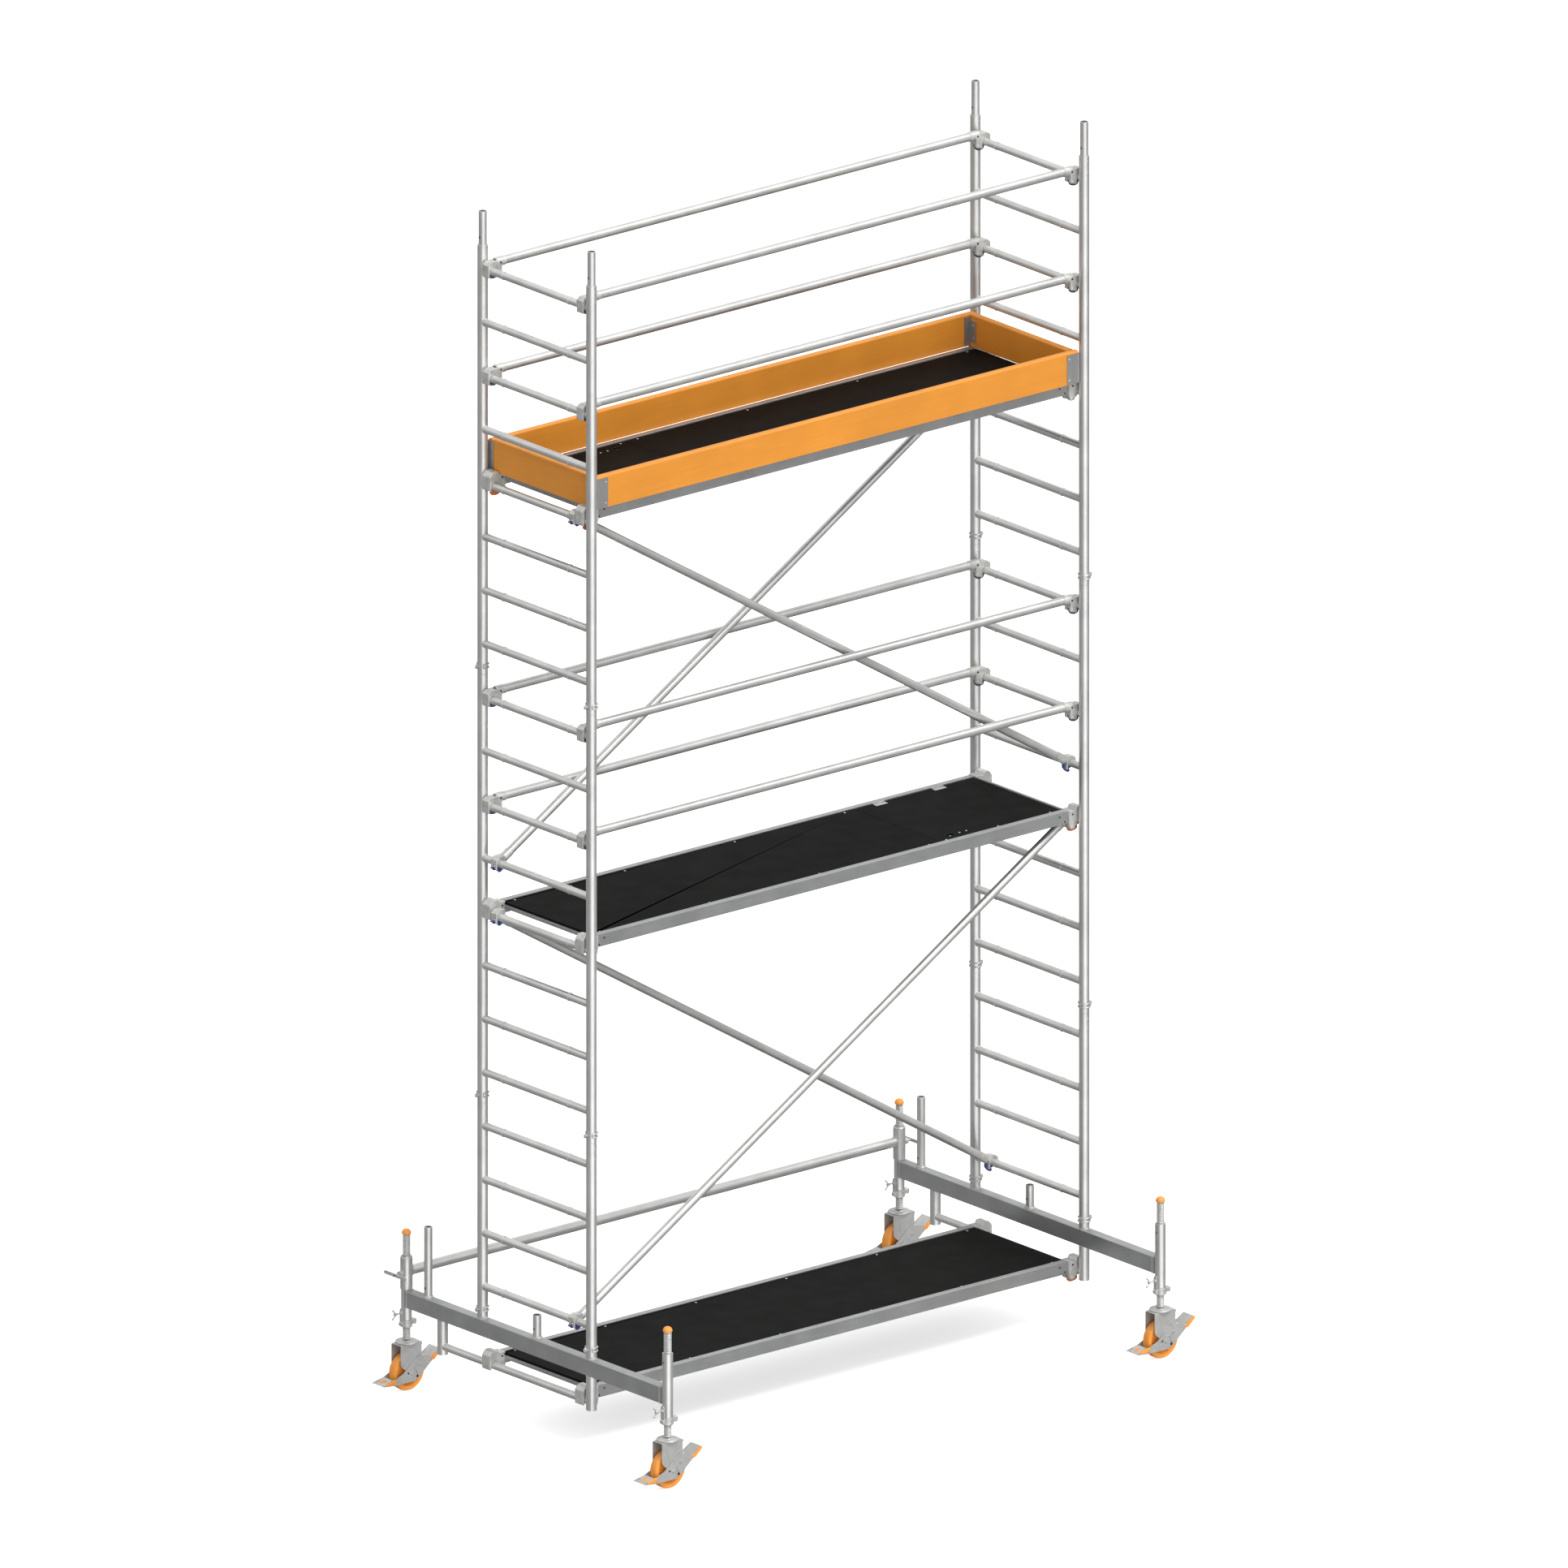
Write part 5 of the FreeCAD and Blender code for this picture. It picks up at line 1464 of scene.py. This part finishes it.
# --- Claws and pawls ---
@dataclass
class Claws:
    """Cast claws that hang decks, guard rails and braces on the rungs, with their pawls.

    Its lengths are millimetres, apart from the places across the tower.
    """

    layout: Layout
    paints: Paints
    grip: float = 17.8       # inner radius of a claw
    lip: float = 26.9
    foot: float = 20.0
    slot: float = 6.0        # half width of the pawl's slot
    deck_half: float = 28.5
    rail_half: float = 22.0
    brace_half: float = 19.0
    deck_y: float = 0.320
    rail_y: float = 0.325
    brace_y: float = 0.268
    rail_rise: float = 33.0
    deck_pivot: tuple[float, float] = (-46.0, -22.0)
    rail_pivot: tuple[float, float] = (-42.0, -12.0)
    brace_pivot: tuple[float, float] = (25.0, -22.0)
    deck_grip: Outline = ((-54, -26), (-53, -41), (-46, -49), (-28, -52), (-8, -49), (2, -42),
                          (3, -30), (-6, -25), (-16, -21), (-30, -30))
    rail_grip: Outline = ((-49, -15), (-46, -28), (-36, -37), (-20, -41), (-4, -39), (5, -33),
                          (3, -25), (-8, -24), (-18, -19), (-30, -20))
    brace_grip: Outline = ((-2, -25), (3, -38), (-2, -45), (-13, -43), (-26, -34), (-35, -19),
                           (-37, -5), (-30, -3), (-23, -14), (-14, -22))

    def cavity(self, reach: float) -> list[tuple[float, float]]:
        """Outline of the tube's seat, from the outer jaw's foot over the tube to the inner one's."""
        return [(self.grip, -reach), *arc((0.0, 0.0), self.grip, 0, 180, 14), (-self.grip, -reach)]

    def body(self, cheek: Outline, web: Outline, half: float, edge: float) -> list[Part]:
        """Two cheeks and the web that fills part of the slot between them.

        Args:
            cheek: outline of a cheek.
            web: outline of the web.
            half: half the claw's width.
            edge: how far the cheeks' edges are rounded, in metres.

        Returns:
            The three plates.
        """
        inside = self.slot * MM + 0.001
        plates = [Part.plate(mm(cheek), side * self.slot * MM, side * half * MM, Axis.Y, edge, 3)
                  for side in BOTH]
        return plates + [Part.plate(mm(web), -inside, inside, Axis.Y, edge=0)]

    def on_cheeks(self, pattern: Part, x: float, z: float, face: float) -> list[Part]:
        """A small turned part on the outside of both cheeks, all in metres."""
        return copies(pattern, [aim((x, side * face, z), (x, 2 * side * face, z))
                                for side in BOTH])

    def pin_bosses(self, radius: float, pivot: tuple[float, float], half: float) -> list[Part]:
        """Low bosses round the ends of the pawl's pin; the radius is in metres."""
        boss = Part.turned([(radius, 0.0), (radius, 0.0008), (radius - 0.0012, 0.0016),
                            (radius - 0.0042, 0.0018)], sides=20)
        return self.on_cheeks(boss, pivot[0] * MM, pivot[1] * MM, half * MM - 0.0002)

    def rivet_pits(self, x: float, z: float, face: float) -> list[Part]:
        """Dark discs of painted shade on both cheeks where the rivet recesses are, all in metres."""
        pit = Part.turned([(0.0048, 0.0), (0.0048, 0.0005), (0.0036, 0.0001)], sides=16)
        return self.on_cheeks(pit.dress(self.paints.hole), x, z, face)

    def deck_claw(self) -> Part:
        """Claw of a deck's corner at the +X end about the rung's axis."""
        lip = self.lip
        crown = [(-63, 53), (-28, 53), (-25, 58), (-22, 65), (-18, 67), (4, 67), (10, 65),
                 (22, 51), (lip, 44)]
        outside = crown + [(lip, -17), (24, -20)] + self.cavity(self.foot)
        cheek = [(-63, -7)] + outside + [(-26, -20), (-34, -34), (-55, -34), (-59, -28)]
        web = [(-63, -4)] + outside[:-1] + [(-self.grip, -4)]
        parts = self.body(cheek, [(x, z - 1.2 if z > 0 else z) for x, z in web], self.deck_half,
                          0.0022)
        parts += self.pin_bosses(0.0062, self.deck_pivot, self.deck_half)
        parts.append(Part.plate([(-0.020, -0.012), (0.020, -0.012), (0.020, 0.040),
                                 (-0.020, 0.040)], 0.0262, 0.0279, Axis.X))
        claw = joined(parts).dress(self.paints.cast)
        return joined([claw, *self.rivet_pits(-0.044, 0.035, self.deck_half * MM)])

    def socketed(self, half: float, top: float, rise: float, slope: float, tube: float,
                 lug: float, pivot: tuple[float, float], slot_inside: bool) -> Part:
        """Claw with a round socket for a tube, at the +X end about the rung's axis.

        Args:
            half: half its width.
            top: height of its top above the rung's axis.
            rise: height of the socket's axis above the rung's.
            slope: angle that the socket climbs at on its way in, in radians.
            tube: radius of the tube in the socket.
            lug: how far in its cheeks reach.
            pivot: the pawl's pin.
            slot_inside: whether the pawl's slot is on the deck side of the rung.

        Returns:
            The claw.
        """
        crown = [(lug, top - 4), (lug + 4, top), (8, top), (14, top - 2.5), (22, top - 9),
                 (self.lip, top - 15)]
        jaw = [(self.lip, -25), (24, -28)]
        seat = self.cavity(28)
        if slot_inside:
            inner = [(-26, -28), (-30, -25), (lug + 4, -20), (lug, -16)]
            web = crown + jaw + seat[:-1] + [(-self.grip, -4), (lug, -4)]
        else:
            inner = [(lug + 1, -28), (lug, -26)]
            web = crown + [(self.lip, 0), (self.grip, 0)] + seat[1:] + inner
        parts = self.body(crown + jaw + seat + inner,
                          [(x, z - 1.0 if z > top - 6 else z) for x, z in web], half, 0.0018)
        inward = Vector((-math.cos(slope), 0.0, math.sin(slope)))
        base = Vector((0.0, 0.0, rise * MM))
        skin = tube * MM
        sleeve = Part.turned([(skin + 0.0001, 0.062), (skin + 0.0001, 0.082),
                              (skin + 0.0012, 0.082), (skin + 0.0020, 0.0812),
                              (skin + 0.0020, 0.034), (skin - 0.003, 0.028),
                              (skin - 0.003, 0.062)], closed=True)
        parts.append(sleeve.moved(aim(base, base + inward)))
        parts += self.pin_bosses(0.0058, pivot, half)
        claw = joined(parts).dress(self.paints.cast)
        at = base + inward * 0.046
        return joined([claw, *self.rivet_pits(at.x, at.z, half * MM + 0.0002)])

    def pawl(self, pivot: tuple[float, float], last: float, half: float, grip: Outline,
             material: Material) -> Part:
        """Locking pawl under a rung, with its pin.

        Args:
            pivot: place of the pin.
            last: angle where the pawl's tip ends, in degrees.
            half: half the claw's width, which the pin crosses.
            grip: outline of the thumb grip that hangs below it.
            material: the pawl's finish.

        Returns:
            The pawl.
        """
        inner, outer, boss = 18.6, 27.1, 7.5
        first = math.degrees(math.atan2(pivot[1], pivot[0])) % 360
        turn = 1 if last > first else -1
        tip = arc((0, 0), (inner + outer) / 2, last, last, 1)[0]
        hook = arc((0, 0), outer, first + turn * 12, last)
        hook += arc(tip, (outer - inner) / 2, last, last + turn * 180, 6)[1:-1]
        hook += arc((0, 0), inner, last, first + turn * 4)
        hook += arc(pivot, boss, first - turn * 100, first - turn * 260, 10)
        plates = [Part.plate(mm(hook), -0.005, 0.005, Axis.Y, 0.0012),
                  Part.plate(mm(grip), -0.0056, 0.0056, Axis.Y, 0.0020, 3)]
        end = half * MM - 0.0003
        pins = [Part.rod(boss * MM, -0.0056, 0.0056, rim=0.0010), Part.rod(0.0034, -end, end, 16)]
        at = shift(pivot[0] * MM, 0.0, pivot[1] * MM)
        return joined(plates + [pin.moved(quarter(Axis.X), at) for pin in pins]).dress(material)

    def at_end(self, end: int, side_y: float, height: float) -> Matrix:
        """Place of a claw, mirrored at the -X end."""
        at = shift(end * self.layout.stile_x, self.layout.across(side_y), height)
        return at @ facing(end)

    def build_decks(self) -> None:
        """Twelve deck claws and the six wind locks."""
        tops = {deck: top - self.layout.deck_rise for deck, top in self.layout.deck_tops.items()}
        deliver("deck_corner_claws",
                copies(self.deck_claw(), [self.at_end(end, side * self.deck_y, top)
                                          for top in tops.values() for end, side in CORNERS]),
                "deck_claws")
        lock = self.pawl(self.deck_pivot, 283.0, self.deck_half, self.deck_grip,
                         self.paints.rust_orange)
        for deck, end in (("bottom", 1), ("middle", 1), ("top", -1)):
            for side_name, side in SIDES.items():
                node = f"{deck}_{side_name}_wind_lock"
                at = self.at_end(end, side * self.deck_y, tops[deck])
                deliver(f"{deck}_{side_name}_lock_pawl", [lock.copy().moved(at)],
                        node, node)
        lock.scrap()

    def build_rails(self, rungs: Sequence[int]) -> None:
        """Claws and pawls of the guard rails."""
        claw = self.socketed(self.rail_half, 44.0, self.rail_rise, 0.0, 20.0, -54.0,
                             self.rail_pivot, True)
        latch = self.pawl(self.rail_pivot, 283.0, self.rail_half, self.rail_grip,
                          self.paints.slate)
        places = [self.at_end(end, side * self.rail_y, self.layout.rung_z(number))
                  for number in rungs for end, side in CORNERS]
        deliver("guard_rail_claws", copies(claw, places), "rail_claws")
        deliver("guard_rail_pawls", copies(latch, places), "rail_pawls")

    def build_braces(self, ends: Sequence[tuple[int, int, float, float]]) -> None:
        """Claws and pawls of the braces.

        Args:
            ends: end, side, height and slope of every brace end.
        """
        claws: list[Part] = []
        places: list[Matrix] = []
        for slope in sorted({round(end[3], 6) for end in ends}):
            pattern = self.socketed(self.brace_half, 34.0, 0.0, slope, 19.0, -26.0,
                                    self.brace_pivot, False)
            alike = [self.at_end(end, side * self.brace_y, height)
                     for end, side, height, own in ends if abs(own - slope) < NEAR]
            claws += copies(pattern, alike)
            places += alike
        deliver("brace_claws_cast", claws, "brace_claws")
        latch = self.pawl(self.brace_pivot, 238.0, self.brace_half, self.brace_grip,
                          self.paints.blue)
        deliver("brace_pawls_blue", copies(latch, places), "brace_pawls")


@dataclass
class RailsAndBraces:
    """Guard-rail tubes and diagonal braces."""

    layout: Layout
    paints: Paints
    claws: Claws
    rail_rungs: tuple[int, ...] = (9, 11, 17, 19)
    rail: float = 0.020
    brace: float = 0.019
    socket: float = 0.062
    brace_pairs: tuple[tuple[int, int], ...] = ((0, 7), (8, 15))
    crimps: tuple[float, ...] = (0.105, 0.140)

    def long_tube(self, radius: float, start: Vector, end: Vector) -> Part:
        """Tube between two points with crimp dimples near both its ends."""
        length = (end - start).length
        tube = Part.tube(radius, radius - 0.0025, 0.0, length, sides=40, rim=0.0)
        tube.moved(quarter(Axis.Y)).dress(self.paints.tube[Axis.X])
        dimple = Part.turned([(0.0042, 0.0), (0.0038, 0.0008), (0.0022, 0.0014),
                              (0.0006, 0.0016)], sides=14).dress(self.paints.weld)
        dimples = copies(dimple, [aim((x, side * (radius - 0.0003), 0.0), (x, side, 0.0))
                                  for back in self.crimps
                                  for x in (back - self.socket, length - back + self.socket)
                                  for side in BOTH])
        line = (end - start).normalized()
        turn = Vector((1, 0, 0)).rotation_difference(line).to_matrix().to_4x4()
        return joined([tube, *dimples]).moved(turn, shift(*start))

    def build(self) -> None:
        """Rails, braces and the claws at their ends."""
        place, claws = self.layout, self.claws
        reach = place.stile_x - self.socket
        for side_name, side in SIDES.items():
            y = place.across(side * claws.rail_y)
            heights = [place.rung_z(number) + claws.rail_rise * MM for number in self.rail_rungs]
            parts = [self.long_tube(self.rail, Vector((-reach, y, z)), Vector((reach, y, z)))
                     for z in heights]
            deliver(side_name + "_rail_tubes", parts,
                    side_name + "_guard_rails")
        claws.build_rails(self.rail_rungs)
        found = []
        tubes: dict[int, list[Part]] = {side: [] for side in BOTH}
        for storey, (low, high) in enumerate(self.brace_pairs):
            foot, head = place.rung_z(low), place.rung_z(high)
            slope = math.atan2(head - foot, 2 * place.stile_x)
            for side in BOTH:
                first = side if storey == 0 else -side
                start = Vector((first * place.stile_x, place.across(side * claws.brace_y), foot))
                end = Vector((-first * place.stile_x, start.y, head))
                line = (end - start).normalized() * self.socket
                tubes[side].append(self.long_tube(self.brace, start + line, end - line))
                found += [(first, side, foot, slope), (-first, side, head, -slope)]
        for side_name, side in SIDES.items():
            deliver(side_name + "_brace_tubes", tubes[side],
                    side_name + "_braces")
        claws.build_braces(found)


# --- Decks ---
@dataclass
class Decks:
    """Three decks: side rails, boards, hatches, hinges and rivets."""

    layout: Layout
    paints: Paints
    half_length: float = 1.362
    board_reach: float = 1.368
    outer: float = 0.335
    inner: float = 0.305
    height: float = 0.060
    recess: float = 0.006
    board: float = 0.010
    member: float = 0.014
    corner: float = 0.2915
    hatch_start: float = 0.660
    hatch_stop: float = 1.352
    hatch_half: float = 0.303
    hole_x: float = 0.756
    hole_y: float = 0.247
    hinge_y: float = 0.299
    hinge_rise: float = 0.003
    hinges: tuple[float, ...] = (0.800, 1.140)
    rail_rivets: tuple[tuple[float, float], ...] = ((0.045, 0.022), (0.015, 0.049))
    cross: tuple[float, ...] = (-0.9, -0.3, 0.3, 0.9)

    def side_rail(self, top: float, side: int) -> list[Part]:
        """Side rail with its groove, and the ledge under the board."""
        y, long = self.layout.across, self.half_length
        under = top - self.recess - self.board
        rail = Part.block((-long, y(side * self.inner), top - self.height),
                          (long, y(side * self.outer), top), edge=0.0018, segments=3)
        groove = Part.block((-long + 0.002, y(side * (self.outer - 0.0006)), top - 0.0475),
                            (long - 0.002, y(side * self.outer), top - 0.0125), edge=0)
        rail.cut(groove.moved(shift(y=side * 0.0001)))
        ledge = Part.block((-long + 0.002, y(side * (self.inner - 0.014)), under - 0.003),
                           (long - 0.002, y(side * self.inner), under - 0.0001), edge=0)
        return [part.dress(self.paints.profile[Axis.X]) for part in (rail, ledge)]

    def members(self, top: float, hatch: int) -> list[Part]:
        """Cross members and end members of one deck."""
        y = self.layout.across
        under = top - self.recess - self.board
        places = list(self.cross)
        if hatch:
            places = [x for x in places if x * hatch < 0.62] + [hatch * 0.640]
        made = [Part.block((x - 0.020, y(-self.inner), top - self.height),
                           (x + 0.020, y(self.inner), under - 0.003), edge=0.0012)
                for x in places]
        for end in ENDS.values():
            root = end * (self.board_reach - self.member)
            made.append(Part.block((root, y(-self.corner), under - 0.018),
                                   (end * self.board_reach, y(self.corner),
                                    top if hatch == end else under), edge=0.0012))
            made += [Part.block((root, y(side * self.corner), under - 0.018),
                                (end * self.half_length, y(side * self.inner), under - 0.003),
                                edge=0) for side in BOTH]
        return [part.dress(self.paints.profile[Axis.Y]) for part in made]

    def rivet(self) -> Part:
        """Low rivet head on a board."""
        return Part.turned([(0.0052, 0.0), (0.0048, 0.0006), (0.0030, 0.0011), (0.0008, 0.0012)],
                           sides=12).dress(self.paints.zinc)

    def board_outline(self, low: float, high: float, half: float) -> list[tuple[float, float]]:
        """Plan of a board between two X places, its corners notched where it meets the claws."""
        points: list[tuple[float, float]] = []
        notch, near = self.corner - 0.0003, self.half_length - 0.0003
        for x, step in ((low, -1), (high, 1)):
            corner = [(x, -half)]
            if abs(abs(x) - self.board_reach) < NEAR:
                corner = [(step * near, -half), (step * near, -notch), (x, -notch)]
            mirrored = [(px, -py) for px, py in reversed(corner)]
            points += (mirrored + corner) if step < 0 else (corner + mirrored)
        return [(px, self.layout.across(py)) for px, py in points]

    def fixed_board(self, name: str, top: float, hatch: int) -> None:
        """Fixed board of one deck with the rivets along its edges."""
        low = -self.board_reach if hatch >= 0 else -self.hatch_start + 0.001
        high = self.board_reach if hatch <= 0 else self.hatch_start - 0.001
        upper = top - self.recess
        board = Part.plate(self.board_outline(low, high, self.inner - 0.0002),
                           upper - self.board, upper, Axis.Z)
        count = 4 if hatch else 6
        step = (high - low - 0.12) / (count - 1)
        spots = [shift(low + 0.06 + number * step, self.layout.across(side * 0.292), upper)
                 for number in range(count) for side in BOTH]
        deliver(name + "_walk_board",
                [board.dress(self.paints.film), *copies(self.rivet(), spots)],
                name + "_deck_board")

    def finger_hole(self, end: int, radius: float) -> list[tuple[float, float]]:
        """Outline of the finger hole in the hatch at one end."""
        x, y = end * self.hole_x, self.layout.across(-end * self.hole_y)
        return (arc((x + 0.009, y), radius, -90, 90, 8)
                + arc((x - 0.009, y), radius, 90, 270, 8))

    def hinge_leaf(self, x: float, end: int, top: float) -> list[Part]:
        """Moving half of a hinge: barrel, leaf and the web between them."""
        y, z, upper = self.layout.across(end * self.hinge_y), top - self.hinge_rise, top - 0.006
        third = 0.0107
        barrel = Part.tube(0.0026, 0.0015, -third, third, sides=16, rim=0.0)
        leaf = Part.block((x - 0.033, y - end * 0.0039, upper),
                          (x + 0.033, y - end * 0.028, upper + 0.0012), edge=0.0004)
        web = Part.block((x - third, y, upper + 0.0002),
                         (x + third, y - end * 0.0052, z - 0.0008), edge=0)
        barrel.moved(quarter(Axis.Y), shift(x, y, z))
        return [part.dress(self.paints.zinc) for part in (barrel, leaf, web)]

    def hatch(self, name: str, top: float, end: int) -> None:
        """Hatch board with its finger hole, moving hinge leaves and rivets.

        Args:
            name: deck it belongs to.
            top: height of the deck.
            end: end of the deck it is at; its hinges are on the side of the same sign.
        """
        y, upper = self.layout.across, top - self.recess
        near, far = end * (self.hatch_start + 0.001), end * self.hatch_stop
        low, high = min(near, far), max(near, far)
        outline = [(low, y(-self.hatch_half)), (high, y(-self.hatch_half)),
                   (high, y(self.hatch_half)), (low, y(self.hatch_half))]
        board = Part.plate(outline, upper - self.board, upper, Axis.Z)
        board.cut(Part.plate(self.finger_hole(end, 0.014), upper - 0.02, upper + 0.01, Axis.Z,
                             edge=0))
        # Dark ring of painted shade round the finger hole's edge.
        rim = Part.wire([(px, py, upper - 0.0002) for px, py in self.finger_hole(end, 0.0145)],
                        0.0012, sides=6, closed=True)
        parts = [board.dress(self.paints.film), rim.dress(self.paints.hole)]
        spots = [shift(end * x, y(-end * self.hole_y), upper) for x in (0.810, 0.850)]
        spots += [shift(end * x, y(-end * 0.288), upper) for x in (0.70, 1.00, 1.30)]
        for x in self.hinges:
            parts += self.hinge_leaf(end * x, end, top)
            spots += [shift(end * x + step, y(end * self.hinge_y) - end * reach, upper + 0.0009)
                      for step, reach in ((-0.024, 0.012), (0.0, 0.021), (0.024, 0.012))]
        parts += copies(self.rivet(), spots)
        deliver(name + "_hatch_board", parts, name + "_hatch", name + "_hatch")

    def fixed_hinges(self) -> None:
        """Knuckles on the side rails' lips with the hinge pins."""
        parts: list[Part] = []
        for deck, end in (("middle", 1), ("top", -1)):
            y, z = self.layout.across(end * self.hinge_y), self.layout.deck_tops[deck]
            z -= self.hinge_rise
            for x in (end * hinge for hinge in self.hinges):
                at = shift(x, y, z)
                parts.append(Part.rod(0.0014, -0.033, 0.033, sides=10).moved(quarter(Axis.Y), at))
                for side in BOTH:
                    low, high = sorted((side * 0.011, side * 0.033))
                    knuckle = Part.tube(0.0026, 0.0015, low, high, sides=16, rim=0.0)
                    parts.append(knuckle.moved(quarter(Axis.Y), at))
                    parts.append(Part.block(
                        (x + low, y + end * 0.0016, z - 0.0012),
                        (x + high, self.layout.across(end * self.inner), z + 0.0012), 0.0003))
        deliver("hatch_hinge_knuckles", [part.dress(self.paints.zinc) for part in parts],
                "hatch_hinges")

    def rivets(self) -> None:
        """Rivet heads at the ends of the side rails."""
        head = Part.turned([(0.0045, -0.0004), (0.0044, 0.0005), (0.0034, 0.0011),
                            (0.0018, 0.0007), (0.0006, 0.0006)], sides=20)
        matrices = []
        for top in self.layout.deck_tops.values():
            for end, side in CORNERS:
                for back, drop in self.rail_rivets:
                    at = (end * (self.half_length - back),
                          self.layout.across(side * self.outer), top - drop)
                    matrices.append(aim(at, (at[0], at[1] + side, at[2])))
        deliver("side_rail_rivets", copies(head.dress(self.paints.rivet), matrices),
                "deck_rivets")

    def build(self) -> None:
        """All three decks."""
        for name, top in self.layout.deck_tops.items():
            hatch = {"bottom": 0, "middle": 1, "top": -1}[name]
            rails = [part for side in BOTH for part in self.side_rail(top, side)]
            deliver(name + "_deck_rails", rails + self.members(top, hatch),
                    name + "_deck_frame")
            self.fixed_board(name, top, hatch)
            if hatch:
                self.hatch(name, top, hatch)
        self.fixed_hinges()
        self.rivets()


# --- Toe boards ---
@dataclass
class ToeBoards:
    """Boards round the working deck with their corner brackets."""

    layout: Layout
    paints: Paints
    height: float = 0.150
    inner: float = 0.337
    outer: float = 0.371
    half_length: float = 1.395
    end_half: float = 0.3334
    thickness: float = 0.034
    rounding: float = 0.009
    plate: float = 0.003
    gap: float = 0.0003
    bracket_start: float = 1.328
    bracket_low: float = 0.003
    bracket_high: float = 0.1395
    flange: float = 0.044
    flange_half: float = 0.050
    ribs: tuple[float, ...] = (1.346, 1.360, 1.374, 1.388)

    def section(self, near: float, far: float, top: float) -> list[tuple[float, float]]:
        """Section of a board: square foot, rounded upper corners."""
        low, high = min(near, far), max(near, far)
        radius, roof = self.rounding, top + self.height
        return ([(low, top), (high, top)]
                + arc((high - radius, roof - radius), radius, 0, 90, 6)
                + arc((low + radius, roof - radius), radius, 90, 180, 6))

    def bracket(self) -> Part:
        """Ribbed corner bracket at the +X end on the +Y side, from the deck's top."""
        metal, start = self.paints.profile[Axis.Z], self.bracket_start
        outer, inner = self.outer + self.gap, self.inner - self.gap
        tip = self.half_length + self.gap
        channel = Part.plate([(start, outer), (start, outer + self.plate),
                              (tip + self.plate, outer + self.plate),
                              (tip + self.plate, inner - self.plate), (start, inner - self.plate),
                              (start, inner), (tip, inner), (tip, outer)],
                             self.bracket_low, self.bracket_high, Axis.Z, edge=0.0006)
        middle = (self.bracket_low + self.bracket_high) / 2
        flange_x = self.half_length - self.thickness - self.gap
        flange = Part.block((flange_x - self.plate, inner - self.flange,
                             middle - self.flange_half),
                            (flange_x, self.inner - 0.0006, middle + self.flange_half),
                            edge=0.0008)
        head = Part.turned([(0.0042, 0.0), (0.0040, 0.0006), (0.0026, 0.0011), (0.0006, 0.0012)],
                           sides=14).dress(self.paints.bright)
        face, back = self.outer + self.plate + 0.0002, flange_x - self.plate + 0.0002
        spots = [aim((start + 0.012, face, z), (start + 0.012, face + 1, z))
                 for z in (0.022, 0.120)]
        spots += [aim((back, self.inner - 0.026, z), (back - 1, self.inner - 0.026, z))
                  for z in (middle - 0.030, middle + 0.030)]
        skin = self.outer + self.plate
        ribs = [Part.block((x - 0.0018, skin - 0.0012, 0.010), (x + 0.0018, skin + 0.0019, 0.132),
                           edge=0.0006).dress(metal) for x in self.ribs]
        return joined([channel.dress(metal), flange.dress(metal), *copies(head, spots), *ribs])

    def build(self) -> None:
        """Long boards, end boards and brackets."""
        top, y = self.layout.deck_tops["top"], self.layout.across
        lacquer = self.paints.board
        longs = [Part.plate([(y(across), z) for across, z in
                             self.section(side * self.inner, side * self.outer, top)],
                            -self.half_length, self.half_length, Axis.X,
                            edge=0.0006).dress(lacquer[Axis.X]) for side in BOTH]
        shorts = [Part.plate(self.section(end * (self.half_length - self.thickness),
                                          end * self.half_length, top),
                             y(-self.end_half), y(self.end_half), Axis.Y,
                             edge=0.0006).dress(lacquer[Axis.Y]) for end in BOTH]
        deliver("long_toe_boards", longs, "side_toe_boards")
        deliver("cross_toe_boards", shorts, "end_toe_boards")
        corners = [shift(0.0, y(0.0), top) @ facing(end, side) for end, side in CORNERS]
        deliver("toe_corner_brackets", copies(self.bracket(), corners),
                "toe_board_brackets")


# --- Scene ---
def main() -> None:
    """Build every piece of the tower, then the studio round it."""
    logging.basicConfig(level=logging.INFO, format="%(message)s")
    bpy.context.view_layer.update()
    layout = Layout.read()
    paints = Paints()
    LadderFrames(layout, paints).build()
    MobileBeams(layout, paints).build()
    JointClips(layout, paints).build()
    RearStrut(layout, paints).build()
    Castors(layout, paints).build()
    claws = Claws(layout, paints)
    claws.build_decks()
    Decks(layout, paints).build()
    RailsAndBraces(layout, paints, claws).build()
    ToeBoards(layout, paints).build()
    studio = Studio()
    studio.camera(layout.middle_y)
    studio.lights()
    studio.floor()


if __name__ == "__main__":
    main()
